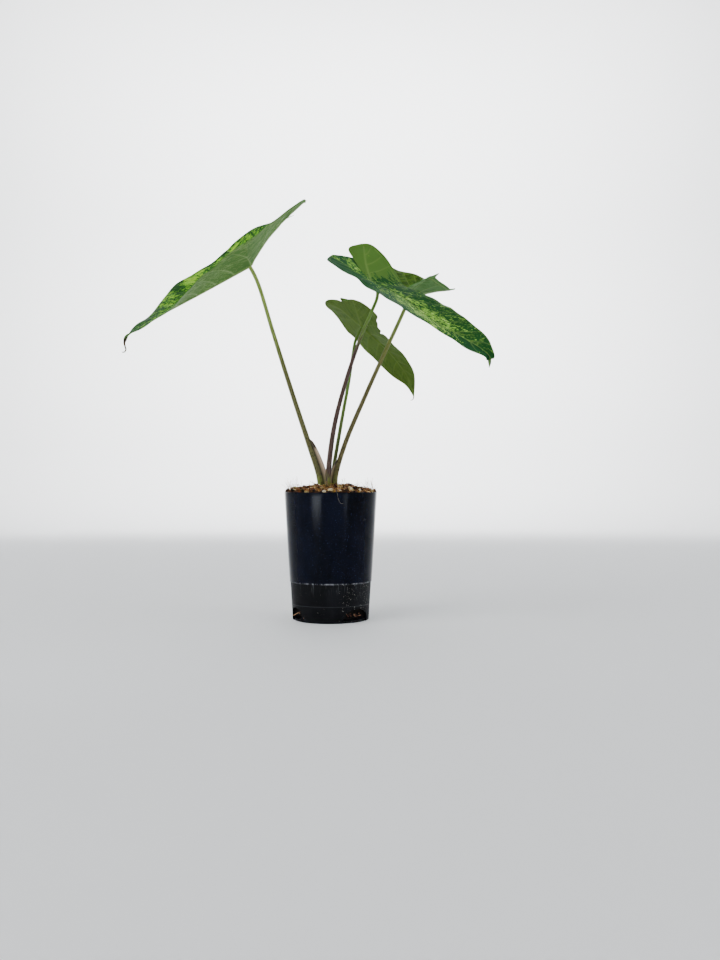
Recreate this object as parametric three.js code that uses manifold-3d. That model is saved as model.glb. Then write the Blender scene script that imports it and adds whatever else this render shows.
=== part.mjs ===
// A potted caladium: black nursery pot, potting mix, corm, four leaf stalks and four arrow-shaped blades.
// Millimetres, +Z up. The origin is the middle of the pot's foot, on the surface that it stands on.
// +X is to the right and +Y away from someone who faces the plant.
import * as THREE from 'three';
import { mergeVertices } from 'three/addons/utils/BufferGeometryUtils.js';
import Module from 'manifold-3d';

// Pot
const POT_HEIGHT = 103;
const POT_RIM_RADIUS = 37.5;
const POT_FOOT_RADIUS = 31.2;
const POT_WALL = 1.2;
const POT_FLOOR = 1.6;
const POT_STEP_HEIGHT = 31;
const POT_STEP_DEPTH = 0.5;
const POT_SIDES = 60;
const NOTCH_HEIGHT = 11;
const NOTCH_WIDTH = 25;
const NOTCH_INSET = 4;
const NOTCH_DIRECTIONS = [-45, 75, 195];

// Clearance between nodes that meet, and round the stalks in the mix
const GAP = 0.3;
const STALK_GAP = 0.5;

// Potting mix: a rough dome, low at the pot's wall, with chips of bark lying in it
const MIX_EDGE_HEIGHT = 102.2;
const MIX_CROWN_HEIGHT = 107.5;
const MIX_ROUGHNESS = 0.9;
const MIX_RINGS = 11;
const MIX_SIDES = 40;
const MIX_SEED = 5;
const CHIP_COUNT = 30;
const CHIP_LENGTH = [4, 9];
const CHIP_WIDTH = [2.5, 5];
const CHIP_HEIGHT = [1.5, 3];
const CHIP_SEED = 11;

// Corm: the flat, rounded body that the stalks grow from
const CORM_CENTRE = [-1.5, 0, 95.5];
const CORM_RADIUS = 9.5;
const CORM_HALF_HEIGHT = 8.5;

// Blades
const BLADE_THICKNESS = 0.7;
const RIB_DEPTH = 0.9;
const WAVE_HEIGHT = 0.6;
const WAVE_LENGTH = 23;
// Shares of the way from the midrib out to the margin at which a blade has points.
const ACROSS = [0, 0.05, 0.28, 0.52, 0.77, 1];
// Margin of one half, from the end of its basal lobe to the tip: along the midrib as a share of the lobe's
// reach where negative and of the blade's length where positive, then out from the midrib as a share of the
// half width.
const MARGIN = [
  [-1.0, 0.55], [-0.93, 0.76], [-0.6, 0.96], [-0.15, 1.03], [0.12, 0.98], [0.3, 0.86], [0.5, 0.65],
  [0.68, 0.42], [0.82, 0.22], [0.92, 0.09], [0.97, 0.03], [1.0, 0.0],
];
// Sinus edge of one half, from the end of its lobe towards the notch behind the stalk, in the same shares.
const SINUS = [[-1.0, 0.55], [-0.96, 0.4], [-0.7, 0.25], [-0.4, 0.11]];
// How the stations on the midrib crowd towards the stalk, against those on the margin.
const TIP_CROWDING = 1.15;
// Places along the midrib where a half's rise is given: the lobe's end, the stalk, two between and the tip.
const RISE_AT = [-1, 0, 0.3, 0.6, 1];

// Each blade: the points that its midrib follows, from between the ends of the lobes to the tip, with the
// stalk's junction at one of them; its notch behind the stalk, its half width and its stations along the lobes and on to the tip; and
// for its left and right half, seen from above and behind: the degrees that it rises from the midrib at the
// places above, the degrees that it bends up on its way out, the reach of its lobe as a share of the line
// between the lobes, how far its lobe stands off that line, and where its edge is torn or drawn out, as places
// along the midrib with the share of the reach that is left there.
const LEAVES = {
  left: {
    midrib: [[-22.5, -2, 328], [-47, -8, 306.5], [-64, -12.5, 284], [-74, -14, 280], [-104, -20, 261], [-142, -30, 236.5],
      [-155.5, -33, 226], [-160.5, -34, 220], [-162, -35, 213]],
    junctionPoint: 2, notch: 2, halfWidth: 40, stations: [11, 25],
    left: { rise: [8, 15, 12, 1, 21], bend: 0, lobe: 1.01, cleft: 1.34, edge: [] },
    right: { rise: [19, 37, 34, 35, 0], bend: 0, lobe: 1, cleft: 1, edge: [] },
  },
  right: {
    midrib: [[1.5, -0.5, 298], [32.5, -28, 268], [46.5, -37.5, 257.5], [59.5, -48, 247.5], [75, -59.5, 235],
      [100, -75, 217], [113, -85, 207], [120.5, -92, 194]],
    junctionPoint: 1, notch: 2, halfWidth: 40, stations: [11, 25],
    left: { rise: [25, 6, 13, 34, 60], bend: 0, lobe: 0.93, cleft: 0.72, edge: [] },
    right: { rise: [10, 4, 3, -2, -32], bend: 0, lobe: 0.5, cleft: 0.33, edge: [] },
  },
  low: {
    midrib: [[4.5, 33, 265], [13, 39, 258.5], [25.5, 45, 244], [48, 52, 224.5], [58, 55, 213],
      [66, 57.5, 200.5], [71.5, 58.5, 184.5]],
    junctionPoint: 2, notch: 2, halfWidth: 32, stations: [18, 38],
    left: { rise: [11, -4, -13, -27, -27], bend: 5, lobe: 1.13, cleft: 0.15, edge: [] },
    right: {
      rise: [-6, 5, -6, 6, 26], bend: 0, lobe: 0.95, cleft: 0.15,
      edge: [[-0.05, 1], [-0.02, 0.98], [0.01, 0.84], [0.05, 0.85], [0.09, 0.77], [0.14, 0.84], [0.17, 0.6],
        [0.19, 0.88], [0.22, 0.97], [0.26, 1]],
    },
  },
  back: {
    midrib: [[46, 20, 260.5], [54, 29, 264], [66, 42, 268], [80.5, 55, 274], [97, 70, 279], [105, 81, 282.5],
      [109, 87, 284.5]],
    junctionPoint: 2, notch: 2, halfWidth: 35, stations: [16, 26],
    left: { rise: [70, 59, 47, 43, 12], bend: 0, lobe: 1, cleft: 1, edge: [] },
    right: {
      rise: [31, 18, -3, 0, 3], bend: -4, lobe: 1.03, cleft: 1,
      edge: [[-0.19, 1], [-0.14, 1.18], [-0.09, 1]],
    },
  },
};

// Leaf stalks: the points that each follows from its seat on the corm to the blade, its radius at the foot and
// under the blade, and the sheath that clasps the crown: how high it reaches, how wide its wing is, and the
// direction that the wing faces.
const STALKS = {
  left: {
    path: [[-7.5, -1, 101], [-9.5, -1, 116], [-17.5, -3, 141.5], [-30, -6, 180], [-46, -9.5, 231],
      [-57.5, -11.5, 269], [-62, -12, 279], [-64, -12, 282]],
    foot: 2.5, top: 1.6, sheath: { height: 40, width: 3.6, facing: 0 },
  },
  right: {
    path: [[-2.5, -4.5, 101], [-2, -5, 116], [3.5, -10, 154], [13.5, -15.5, 192], [24.5, -21.5, 229.5],
      [30, -24, 245], [34.5, -26, 254], [34.3, -27.6, 265.4]],
    foot: 2.5, top: 1.6, sheath: { height: 30, width: 1.5, facing: 60 },
  },
  low: {
    path: [[1, 4.5, 101], [1.5, 5, 116], [7.5, 12, 155], [14.5, 24, 196], [17.5, 33, 217], [20, 40, 232],
      [25.3, 44.8, 241.8]],
    foot: 1.8, top: 1.3, sheath: { height: 22, width: 1.5, facing: -120 },
  },
  back: {
    path: [[3.5, 0, 101], [4, 0.5, 116], [11.5, 3.5, 142], [28, 9, 181.5], [46, 15.5, 222], [58.5, 27, 250],
      [65.2, 40.6, 265.8]],
    foot: 2.2, top: 1.6, sheath: { height: 28, width: 2, facing: 180 },
  },
};

const STALK_RINGS = 26;
const STALK_SIDES = 12;


const wasm = await Module();
wasm.setup();

const material = {
  pot: new THREE.MeshStandardMaterial({ color: '#0b0d16', roughness: 0.35 }),
  mix: new THREE.MeshStandardMaterial({ color: '#5a3f28', roughness: 0.95 }),
  corm: new THREE.MeshStandardMaterial({ color: '#6a4a35', roughness: 0.9 }),
  stalk: new THREE.MeshStandardMaterial({ color: '#6c6a3c', roughness: 0.5 }),
  blade: new THREE.MeshStandardMaterial({ color: '#4f7f35', roughness: 0.45, side: THREE.DoubleSide }),
};

const radians = THREE.MathUtils.degToRad;
const vector = ([x, y, z]) => new THREE.Vector3(x, y, z);

// A draw between 0 and 1 that is the same on every run.
function seededDraw(seed) {
  let state = seed;
  return () => {
    state = (state * 1664525 + 1013904223) % 4294967296;
    return state / 4294967296;
  };
}

function asGeometry(vertices, triangles) {
  const geometry = new THREE.BufferGeometry();
  geometry.setAttribute('position', new THREE.BufferAttribute(new Float32Array(vertices), 3));
  geometry.setIndex(triangles);
  return geometry;
}

function asSolid(geometry) {
  const bare = geometry.clone();
  bare.deleteAttribute('normal');
  bare.deleteAttribute('uv');
  const merged = mergeVertices(bare, 1e-4);
  return new wasm.Manifold(new wasm.Mesh({
    numProp: 3,
    vertProperties: new Float32Array(merged.attributes.position.array),
    triVerts: new Uint32Array(merged.index.array),
  }));
}

function fromSolid(solid) {
  const mesh = solid.getMesh();
  return asGeometry(Array.from(mesh.vertProperties), Array.from(mesh.triVerts));
}

function named(name, geometry, finish) {
  const mesh = new THREE.Mesh(geometry, finish);
  mesh.name = name;
  return mesh;
}

// A flat curve through the given points, so that a share of its length gives a point.
function flatCurve(points) {
  return new THREE.CatmullRomCurve3(points.map(([u, v]) => new THREE.Vector3(u, v, 0)), false, 'centripetal');
}

// Position and directions along a blade's midrib, by distance from the junction with the stalk. Behind the
// junction the line goes on between the basal lobes.
function midribOf(leaf) {
  const curve = new THREE.CatmullRomCurve3(leaf.midrib.map(vector), false, 'centripetal');
  const total = curve.getLength();
  const steps = 400;
  const lengths = curve.getLengths(steps);
  const behind = lengths[Math.round((steps * leaf.junctionPoint) / (leaf.midrib.length - 1))];
  return {
    reach: behind,
    length: total - behind,
    at(distance) {
      const share = THREE.MathUtils.clamp((distance + behind) / total, 0, 1);
      const along = curve.getTangentAt(share);
      const left = new THREE.Vector3(0, 0, 1).cross(along).normalize();
      return { point: curve.getPointAt(share), left, up: along.clone().cross(left) };
    },
  };
}

// The share of its reach that is left to an edge at a place along the midrib.
function shareLeft(edge, place) {
  for (let k = 0; k < edge.length - 1; k += 1) {
    const [from, to] = [edge[k], edge[k + 1]];
    if (place >= from[0] && place <= to[0]) return THREE.MathUtils.mapLinear(place, from[0], to[0], from[1], to[1]);
  }
  return 1;
}

// The value at a place between knots, on a smooth curve through the values at the knots.
function smoothBetween(knots, values, place) {
  let k = 0;
  while (k < knots.length - 2 && place > knots[k + 1]) k += 1;
  const share = THREE.MathUtils.clamp((place - knots[k]) / (knots[k + 1] - knots[k]), 0, 1);
  return values[k] + (values[k + 1] - values[k]) * share * share * (3 - 2 * share);
}

// Middle surface of one half: the point at a station (0 at the lobe's end, 1 at the tip) and a share of the
// way from the midrib or sinus edge to the margin.
function halfSurface(leaf, line, side) {
  const half = side > 0 ? leaf.left : leaf.right;
  const behind = line.reach * half.lobe;
  const scaled = ([u, v]) => [u < 0 ? u * behind : u * line.length, v * leaf.halfWidth];
  const margin = flatCurve(MARGIN.map(scaled));
  const notch = -leaf.notch;
  const sinus = flatCurve([...SINUS.map(([u, v], i) => scaled([u, i === 0 ? v : v * half.cleft])), [notch, 0]]);
  let junction = 0;
  while (margin.getPointAt(junction).x < 0) junction += 0.005;
  const marginLength = margin.getLength();
  return {
    junction,
    at(station, across) {
      const outer = margin.getPointAt(station);
      outer.y *= shareLeft(half.edge, outer.x / line.length);
      let inner;
      if (station < junction) {
        inner = sinus.getPointAt(station / junction);
      } else {
        const share = (station - junction) / (1 - junction);
        inner = new THREE.Vector3(notch + (line.length - notch) * share ** TIP_CROWDING, 0, 0);
      }
      const u = THREE.MathUtils.lerp(inner.x, outer.x, across);
      const v = THREE.MathUtils.lerp(inner.y, outer.y, across);
      const { point, left, up } = line.at(u);
      const rise = radians(smoothBetween(RISE_AT, half.rise, u < 0 ? u / behind : u / line.length));
      const bend = radians(half.bend || 0.01) / leaf.halfWidth;
      const sideways = (Math.sin(rise + bend * v) - Math.sin(rise)) / bend;
      const lift = (Math.cos(rise) - Math.cos(rise + bend * v)) / bend;
      const fade = Math.sin(Math.PI * station) * across ** 2;
      const wave = WAVE_HEIGHT * fade * Math.sin((2 * Math.PI * station * marginLength) / WAVE_LENGTH + side);
      return point.clone().addScaledVector(left, side * (sideways - wave * Math.sin(rise)))
        .addScaledVector(up, lift + wave * Math.cos(rise));
    },
  };
}

// A closed blade: the middle surface of both halves, offset both ways, split alike on its two faces, with a
// rib on its underside along the midrib.
function bladeGeometry(leaf) {
  const line = midribOf(leaf);
  const middle = [];
  const rib = [];
  const index = new Map();
  const triangles = [];
  const edges = [];
  const columns = ACROSS.length - 1;
  const add = (key, point, depth) => {
    if (!index.has(key)) {
      index.set(key, middle.length);
      middle.push(point);
      rib.push(depth);
    }
    return index.get(key);
  };
  for (const side of [1, -1]) {
    const half = halfSurface(leaf, line, side);
    const [basal, forward] = leaf.stations;
    const all = basal + forward;
    const station = (k) => (k < basal ? (half.junction * k) / basal
      : half.junction + ((1 - half.junction) * (k - basal)) / forward);
    const vertex = (k, c) => {
      let key = `${side} ${k} ${c}`;
      if (k === 0) key = `${side} lobe`;
      if (k >= basal && c === 0) key = `midrib ${k}`;
      if (k === all) key = 'tip';
      const depth = k >= basal && c === 0 ? RIB_DEPTH * (1 - (k - basal) / forward) : 0;
      return add(key, half.at(station(k), ACROSS[c]), depth);
    };
    for (let k = 0; k < all; k += 1) {
      for (let c = 0; c < columns; c += 1) {
        const a = vertex(k, c);
        const b = vertex(k + 1, c);
        const d = vertex(k, c + 1);
        const e = vertex(k + 1, c + 1);
        for (const [p, q, r] of [[a, b, e], [a, e, d]]) {
          if (p !== q && q !== r && r !== p) triangles.push(side > 0 ? [p, q, r] : [p, r, q]);
        }
      }
      const outer = [vertex(k, columns), vertex(k + 1, columns)];
      edges.push(side > 0 ? outer : outer.reverse());
      if (k < basal) {
        const inner = [vertex(k + 1, 0), vertex(k, 0)];
        edges.push(side > 0 ? inner : inner.reverse());
      }
    }
  }
  const normals = middle.map(() => new THREE.Vector3());
  for (const [p, q, r] of triangles) {
    const normal = middle[q].clone().sub(middle[p]).cross(middle[r].clone().sub(middle[p]));
    for (const corner of [p, q, r]) normals[corner].add(normal);
  }
  const vertices = [];
  for (const way of [1, -1]) {
    middle.forEach((point, i) => {
      const offset = BLADE_THICKNESS / 2 + (way < 0 ? rib[i] : 0);
      vertices.push(...point.clone().addScaledVector(normals[i].clone().normalize(), way * offset));
    });
  }
  const below = middle.length;
  const faces = [];
  for (const [p, q, r] of triangles) faces.push(p, q, r, p + below, r + below, q + below);
  for (const [p, q] of edges) faces.push(p, q, q + below, p, q + below, p + below);
  return asGeometry(vertices, faces);
}

// A closed stalk: rings round its path, drawn out on one side into the sheath's wing near the foot, with a
// rounded end under the blade.
function stalkGeometry(stalk, grow = 0) {
  const path = new THREE.CatmullRomCurve3(stalk.path.map(vector), false, 'centripetal');
  const vertices = [];
  const length = path.getLength();
  const facing = vector([Math.cos(radians(stalk.sheath.facing)), Math.sin(radians(stalk.sheath.facing)), 0]);
  for (let ring = 0; ring <= STALK_RINGS; ring += 1) {
    const share = ring / STALK_RINGS;
    const place = share;
    const along = path.getTangentAt(place);
    const point = path.getPointAt(place).addScaledVector(along, ring === 0 ? -grow : 0);
    const across = facing.clone().addScaledVector(along, -facing.dot(along)).normalize();
    const beside = along.clone().cross(across);
    const rounding = Math.sqrt(THREE.MathUtils.clamp(((1 - share) * length) / stalk.top, 0.2, 1));
    const radius = THREE.MathUtils.lerp(stalk.foot, stalk.top, Math.min(1, share * 2.4)) * rounding + grow;
    const wing = stalk.sheath.width * Math.max(0, 1 - (share * length) / stalk.sheath.height) ** 0.6;
    for (let s = 0; s < STALK_SIDES; s += 1) {
      const angle = (2 * Math.PI * s) / STALK_SIDES;
      const reach = radius + wing * Math.max(0, Math.cos(angle)) ** 6;
      vertices.push(...point.clone().addScaledVector(across, reach * Math.cos(angle))
        .addScaledVector(beside, radius * Math.sin(angle)));
    }
  }
  const faces = [];
  for (let ring = 0; ring < STALK_RINGS; ring += 1) {
    for (let s = 0; s < STALK_SIDES; s += 1) {
      const a = ring * STALK_SIDES + s;
      const b = ring * STALK_SIDES + ((s + 1) % STALK_SIDES);
      faces.push(a, b, b + STALK_SIDES, a, b + STALK_SIDES, a + STALK_SIDES);
    }
  }
  for (let s = 1; s < STALK_SIDES - 1; s += 1) {
    faces.push(0, s + 1, s);
    const last = STALK_RINGS * STALK_SIDES;
    faces.push(last, last + s, last + s + 1);
  }
  return asGeometry(vertices, faces);
}

function cormGeometry(grow = 0) {
  const body = new THREE.SphereGeometry(1, 20, 12);
  body.rotateX(Math.PI / 2);
  body.scale(CORM_RADIUS + grow, CORM_RADIUS + grow, CORM_HALF_HEIGHT + grow);
  body.translate(...CORM_CENTRE);
  return body;
}

// Radius of the pot's outer face at a height.
function potRadius(z) {
  const slope = (POT_RIM_RADIUS - POT_FOOT_RADIUS) / POT_HEIGHT;
  return POT_FOOT_RADIUS + slope * z - (z < POT_STEP_HEIGHT ? POT_STEP_DEPTH : 0);
}

// The potting mix: a body that fills the pot, with a rough dome for its top and chips of bark in the dome.
function mixSolid() {
  const draw = seededDraw(MIX_SEED);
  const floor = POT_FLOOR + GAP;
  const edge = potRadius(MIX_EDGE_HEIGHT) - POT_WALL - GAP;
  const topHeight = (r) => MIX_CROWN_HEIGHT - (MIX_CROWN_HEIGHT - MIX_EDGE_HEIGHT) * (r / edge) ** 2;
  const vertices = [0, 0, floor, 0, 0, MIX_CROWN_HEIGHT];
  const rings = [[potRadius(0) - POT_WALL - GAP, floor], [potRadius(POT_STEP_HEIGHT) - POT_WALL - GAP, POT_STEP_HEIGHT]];
  for (let ring = MIX_RINGS; ring > 0; ring -= 1) rings.push([(edge * ring) / MIX_RINGS, null]);
  for (const [radius, height] of rings) {
    for (let s = 0; s < MIX_SIDES; s += 1) {
      const angle = (2 * Math.PI * (s + (height === null ? 0.35 * (draw() - 0.5) : 0))) / MIX_SIDES;
      const z = height === null ? topHeight(radius) + MIX_ROUGHNESS * (2 * draw() - 1) : height;
      const r = radius < edge && height === null ? radius + 0.5 * (draw() - 0.5) : radius * 0.999;
      vertices.push(r * Math.cos(angle), r * Math.sin(angle), z);
    }
  }
  const faces = [];
  for (let s = 0; s < MIX_SIDES; s += 1) {
    const next = (s + 1) % MIX_SIDES;
    faces.push(0, 2 + next, 2 + s);
    for (let ring = 0; ring < rings.length - 1; ring += 1) {
      const a = 2 + ring * MIX_SIDES;
      const b = a + MIX_SIDES;
      faces.push(a + s, a + next, b + next, a + s, b + next, b + s);
    }
    const last = 2 + (rings.length - 1) * MIX_SIDES;
    faces.push(1, last + s, last + next);
  }
  let mix = asSolid(asGeometry(vertices, faces));
  const chipDraw = seededDraw(CHIP_SEED);
  const between = ([low, high]) => low + (high - low) * chipDraw();
  for (let c = 0; c < CHIP_COUNT; c += 1) {
    const angle = 2 * Math.PI * chipDraw();
    const radius = 5 + (edge - 11) * Math.sqrt(chipDraw());
    const chip = new THREE.BoxGeometry(between(CHIP_LENGTH), between(CHIP_WIDTH), between(CHIP_HEIGHT), 1, 1, 1);
    const corners = chip.attributes.position;
    const moved = new Map();
    for (let i = 0; i < corners.count; i += 1) {
      const key = [corners.getX(i), corners.getY(i), corners.getZ(i)].map((value) => Math.sign(value)).join(' ');
      if (!moved.has(key)) moved.set(key, [0.75 + 0.35 * chipDraw(), 0.7 + 0.4 * chipDraw(), 0.6 + 0.5 * chipDraw()]);
      const [sx, sy, sz] = moved.get(key);
      corners.setXYZ(i, corners.getX(i) * sx, corners.getY(i) * sy, corners.getZ(i) * sz);
    }
    chip.rotateX(radians(60 * (chipDraw() - 0.5)));
    chip.rotateY(radians(60 * (chipDraw() - 0.5)));
    chip.rotateZ(2 * Math.PI * chipDraw());
    chip.translate(radius * Math.cos(angle), radius * Math.sin(angle), topHeight(radius) + 0.3);
    mix = mix.add(asSolid(chip));
  }
  return mix;
}

function potGeometry() {
  const underStep = POT_STEP_HEIGHT - POT_STEP_DEPTH;
  const profile = [
    [0, 0], [potRadius(0) - 1, 0], [potRadius(1), 1], [potRadius(underStep), underStep],
    [potRadius(POT_STEP_HEIGHT), POT_STEP_HEIGHT], [potRadius(POT_HEIGHT), POT_HEIGHT],
    [potRadius(POT_HEIGHT) - POT_WALL, POT_HEIGHT],
    [potRadius(POT_STEP_HEIGHT) - POT_WALL, POT_STEP_HEIGHT],
    [potRadius(0) - POT_WALL, POT_FLOOR], [0, POT_FLOOR],
  ];
  const body = new THREE.LatheGeometry(profile.map(([r, z]) => new THREE.Vector2(r, z)), POT_SIDES);
  body.rotateX(Math.PI / 2);
  let pot = asSolid(body);
  for (const direction of NOTCH_DIRECTIONS) {
    const arch = new THREE.Shape();
    const half = NOTCH_WIDTH / 2;
    arch.moveTo(-half, -1);
    arch.lineTo(half, -1);
    arch.lineTo(half, NOTCH_HEIGHT - half * 0.6);
    arch.absellipse(0, NOTCH_HEIGHT - half * 0.6, half, half * 0.6, 0, Math.PI, false);
    const cutter = new THREE.ExtrudeGeometry(arch, { depth: 20, bevelEnabled: false, curveSegments: 8 });
    cutter.rotateX(Math.PI / 2);
    cutter.translate(0, POT_FOOT_RADIUS - NOTCH_INSET + 20, 0);
    cutter.rotateZ(radians(direction - 90));
    pot = pot.subtract(asSolid(cutter));
  }
  return fromSolid(pot);
}

// The largest of the separate bodies that a cut leaves.
function largest(solid) {
  return solid.decompose().sort((a, b) => b.volume() - a.volume())[0];
}

const blades = Object.entries(LEAVES).map(([place, leaf]) => [place, bladeGeometry(leaf)]);

// Each stalk stops short of the corm, of the blades and of the stalks that come before it in the list.
const corm = asSolid(cormGeometry());
const cormClear = asSolid(cormGeometry(GAP));
const stalks = [];
const stalksClear = [];
for (const [place, stalk] of Object.entries(STALKS)) {
  let solid = asSolid(stalkGeometry(stalk)).subtract(cormClear);
  for (const other of stalksClear) solid = solid.subtract(other);
  stalks.push([place, largest(solid)]);
  stalksClear.push(asSolid(stalkGeometry(stalk, STALK_GAP)));
}
let mix = mixSolid().subtract(cormClear);
for (const stalk of stalksClear) mix = mix.subtract(stalk);

const plant = new THREE.Group();
plant.add(named('pot', potGeometry(), material.pot));
plant.add(named('potting_mix', fromSolid(largest(mix)), material.mix));
plant.add(named('corm', fromSolid(corm), material.corm));
for (const [place, solid] of stalks) plant.add(named(`stalk_${place}`, fromSolid(solid), material.stalk));
for (const [place, geometry] of blades) plant.add(named(`leaf_${place}`, geometry, material.blade));

export default plant;
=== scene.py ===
"""Looks for a young potted caladium: nursery pot, bark mix, four leaf stalks and four mottled blades.

Sizes are in millimetres in the lists below and in metres in the scene. +Z is up, +Y points away from the
camera, and the origin is the middle of the pot's foot.
"""

import math

import bmesh
import bpy
import numpy as np
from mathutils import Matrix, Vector, noise


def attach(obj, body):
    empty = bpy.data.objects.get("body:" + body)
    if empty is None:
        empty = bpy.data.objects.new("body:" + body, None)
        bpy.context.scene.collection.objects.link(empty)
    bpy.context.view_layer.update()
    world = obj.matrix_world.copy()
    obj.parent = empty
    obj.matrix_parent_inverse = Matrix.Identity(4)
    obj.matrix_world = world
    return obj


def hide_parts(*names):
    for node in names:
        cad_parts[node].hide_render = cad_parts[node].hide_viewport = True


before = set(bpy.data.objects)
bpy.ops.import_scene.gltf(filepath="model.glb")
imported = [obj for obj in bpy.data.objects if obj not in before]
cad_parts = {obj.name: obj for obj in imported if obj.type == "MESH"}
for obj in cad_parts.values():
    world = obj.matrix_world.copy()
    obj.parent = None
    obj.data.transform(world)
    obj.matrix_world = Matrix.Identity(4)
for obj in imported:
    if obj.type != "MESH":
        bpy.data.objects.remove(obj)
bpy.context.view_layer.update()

# Camera: level, a little above the pot's rim and 0.82 m in front of the pot's axis, as in the photograph.
FOCAL_LENGTH, FILM_HEIGHT = 38.14, 36
camera = bpy.data.objects.new("camera", bpy.data.cameras.new("camera"))
camera.data.sensor_fit = "VERTICAL"
camera.data.sensor_height = FILM_HEIGHT
camera.data.lens = FOCAL_LENGTH
camera.location = (0.0237, -0.8244, 0.1126)
camera.rotation_euler = (math.radians(90), 0, 0)
bpy.context.collection.objects.link(camera)
bpy.context.scene.camera = camera

# Studio: a pale floor that sweeps up into a round wall, an even sky, a large soft light from the left and
# above, a weaker one from the right, two low narrow ones that draw the streaks on the pot, and a wall light.
MM = 0.001
# Each kind of node: its type, its inputs in the order they are given, its output, and its settings.
KINDS = {
    "object place": ("ShaderNodeTexCoord", (), "Object", {}),
    "height": ("ShaderNodeSeparateXYZ", (0,), "Z", {}),
    "mix": ("ShaderNodeMix", (0, 6, 7), 2, {"data_type": "RGBA"}),
    "between": ("ShaderNodeMapRange", ("Value", "From Min", "From Max"), "Result",
                {"interpolation_type": "SMOOTHSTEP"}),
}


def linear(code):
    """Scene-linear RGBA of an sRGB colour written as "#rrggbb"."""
    parts = [int(code[i:i + 2], 16) / 255 for i in (1, 3, 5)]
    return tuple(p / 12.92 if p <= 0.04045 else ((p + 0.055) / 1.055) ** 2.4 for p in parts) + (1.0,)


def join(tree, made, inputs):
    """Gives a node its inputs: a socket is linked, anything else is the input's value."""
    for key, value in inputs.items():
        if isinstance(value, bpy.types.NodeSocket):
            tree.links.new(value, made.inputs[key])
        else:
            made.inputs[key].default_value = value


def add(tree, kind, *values, **settings):
    """Adds a node of one of the kinds, with its inputs and settings, and gives its output."""
    node_type, inputs, output, usual = KINDS[kind]
    made = tree.nodes.new(node_type)
    for key, value in {**usual, **settings}.items():
        setattr(made, key, value)
    join(tree, made, dict(zip(inputs, values)))
    return made.outputs[output]


def new_material(name):
    material = bpy.data.materials.new(name)
    material.use_nodes = True
    return material, material.node_tree, material.node_tree.nodes["Principled BSDF"]


def mesh_object(name, vertices, faces, material):
    """A smooth-shaded object from vertices in millimetres."""
    mesh = bpy.data.meshes.new(name)
    mesh.from_pydata([tuple(v) for v in np.asarray(vertices, float) * MM], [], [tuple(f) for f in faces])
    mesh.materials.append(material)
    mesh.shade_smooth()
    made = bpy.data.objects.new(name, mesh)
    bpy.context.collection.objects.link(made)
    return made


def grid_faces(rows, columns, start=0, closed=False, flip=False):
    """Quads of a grid of points, row after row; closed joins the last column to the first."""
    r, c = np.meshgrid(np.arange(rows - 1), np.arange(columns if closed else columns - 1), indexing="ij")
    a = start + r * columns + c
    b = start + r * columns + (c + 1) % columns
    quads = np.stack([a, b, b + columns, a + columns], -1).reshape(-1, 4)
    return quads[:, ::-1] if flip else quads


def turned_rings(profile, sides):
    """Points of a profile of (radius, height) turned about the upright axis, ring after ring."""
    turn = np.linspace(0, 2 * math.pi, sides, endpoint=False)
    rings = [np.stack([r * np.cos(turn), r * np.sin(turn), np.full_like(turn, z)], -1) for r, z in profile]
    return np.vstack(rings)


# Matt painted board: it throws light back evenly and shows no shine, only a soft shadow.
floor_material, tree, shader = new_material("matt_painted_board")
height = add(tree, "height", add(tree, "object place"))
pale = add(tree, "mix", add(tree, "between", height, 0.0, 0.25), linear("#f9fafb"), linear("#eeeff0"))
join(tree, shader, {"Base Color": pale, "Roughness": 0.9, "Specular IOR Level": 0.1})
FLOOR_RADIUS, SWEEP_RADIUS, WALL_HEIGHT, FLOOR_SIDES = 1500, 900, 3200, 96
sweep = [(0, 0), (400, 0), (900, 0), (FLOOR_RADIUS, 0)]
sweep += [(FLOOR_RADIUS + SWEEP_RADIUS * math.sin(a), SWEEP_RADIUS * (1 - math.cos(a)))
          for a in np.linspace(0.1, math.pi / 2, 14)]
sweep += [(FLOOR_RADIUS + SWEEP_RADIUS, WALL_HEIGHT)]
floor = mesh_object("studio_floor", turned_rings(sweep, FLOOR_SIDES),
                    grid_faces(len(sweep), FLOOR_SIDES, closed=True), floor_material)

world = bpy.data.worlds.new("studio_sky")
bpy.context.scene.world = world
world.use_nodes = True
world.node_tree.nodes["Background"].inputs["Color"].default_value = linear("#f7fbff")
world.node_tree.nodes["Background"].inputs["Strength"].default_value = 0.5

# Each lamp's place, aim and size are in metres, its power is in watts and its spread in degrees.
for name, place, aim, size, power, spread in (
    ("key_light", (-1.1, -0.9, 1.5), (0, 0, 0.2), (1.2, 1.2), 16, 180),
    ("fill_light", (1.3, -0.5, 0.9), (0, 0, 0.2), (1.0, 1.4), 3, 180),
    ("streak_light", (-0.245, -0.378, 0.042), (0, 0, 0.09), (0.18, 0.024), 0.036, 60),
    ("glint_light", (0.273, -0.357, 0.05), (0, 0, 0.09), (0.07, 0.015), 0.006, 60),
    ("wall_light", (0, 1.0, 2.3), (0, 2.35, 0.7), (1.8, 0.5), 60, 80),
):
    lamp = bpy.data.lights.new(name, "AREA")
    lamp.shape = "RECTANGLE"
    lamp.size, lamp.size_y = size
    lamp.energy = power
    lamp.color = linear("#edf6ff" if power < 1 else "#ffffff")[:3]
    lamp.spread = math.radians(spread)
    lamp_object = bpy.data.objects.new(name, lamp)
    lamp_object.location = place
    lamp_object.rotation_euler = (Vector(aim) - Vector(place)).to_track_quat("-Z", "Y").to_euler()
    bpy.context.collection.objects.link(lamp_object)

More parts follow.
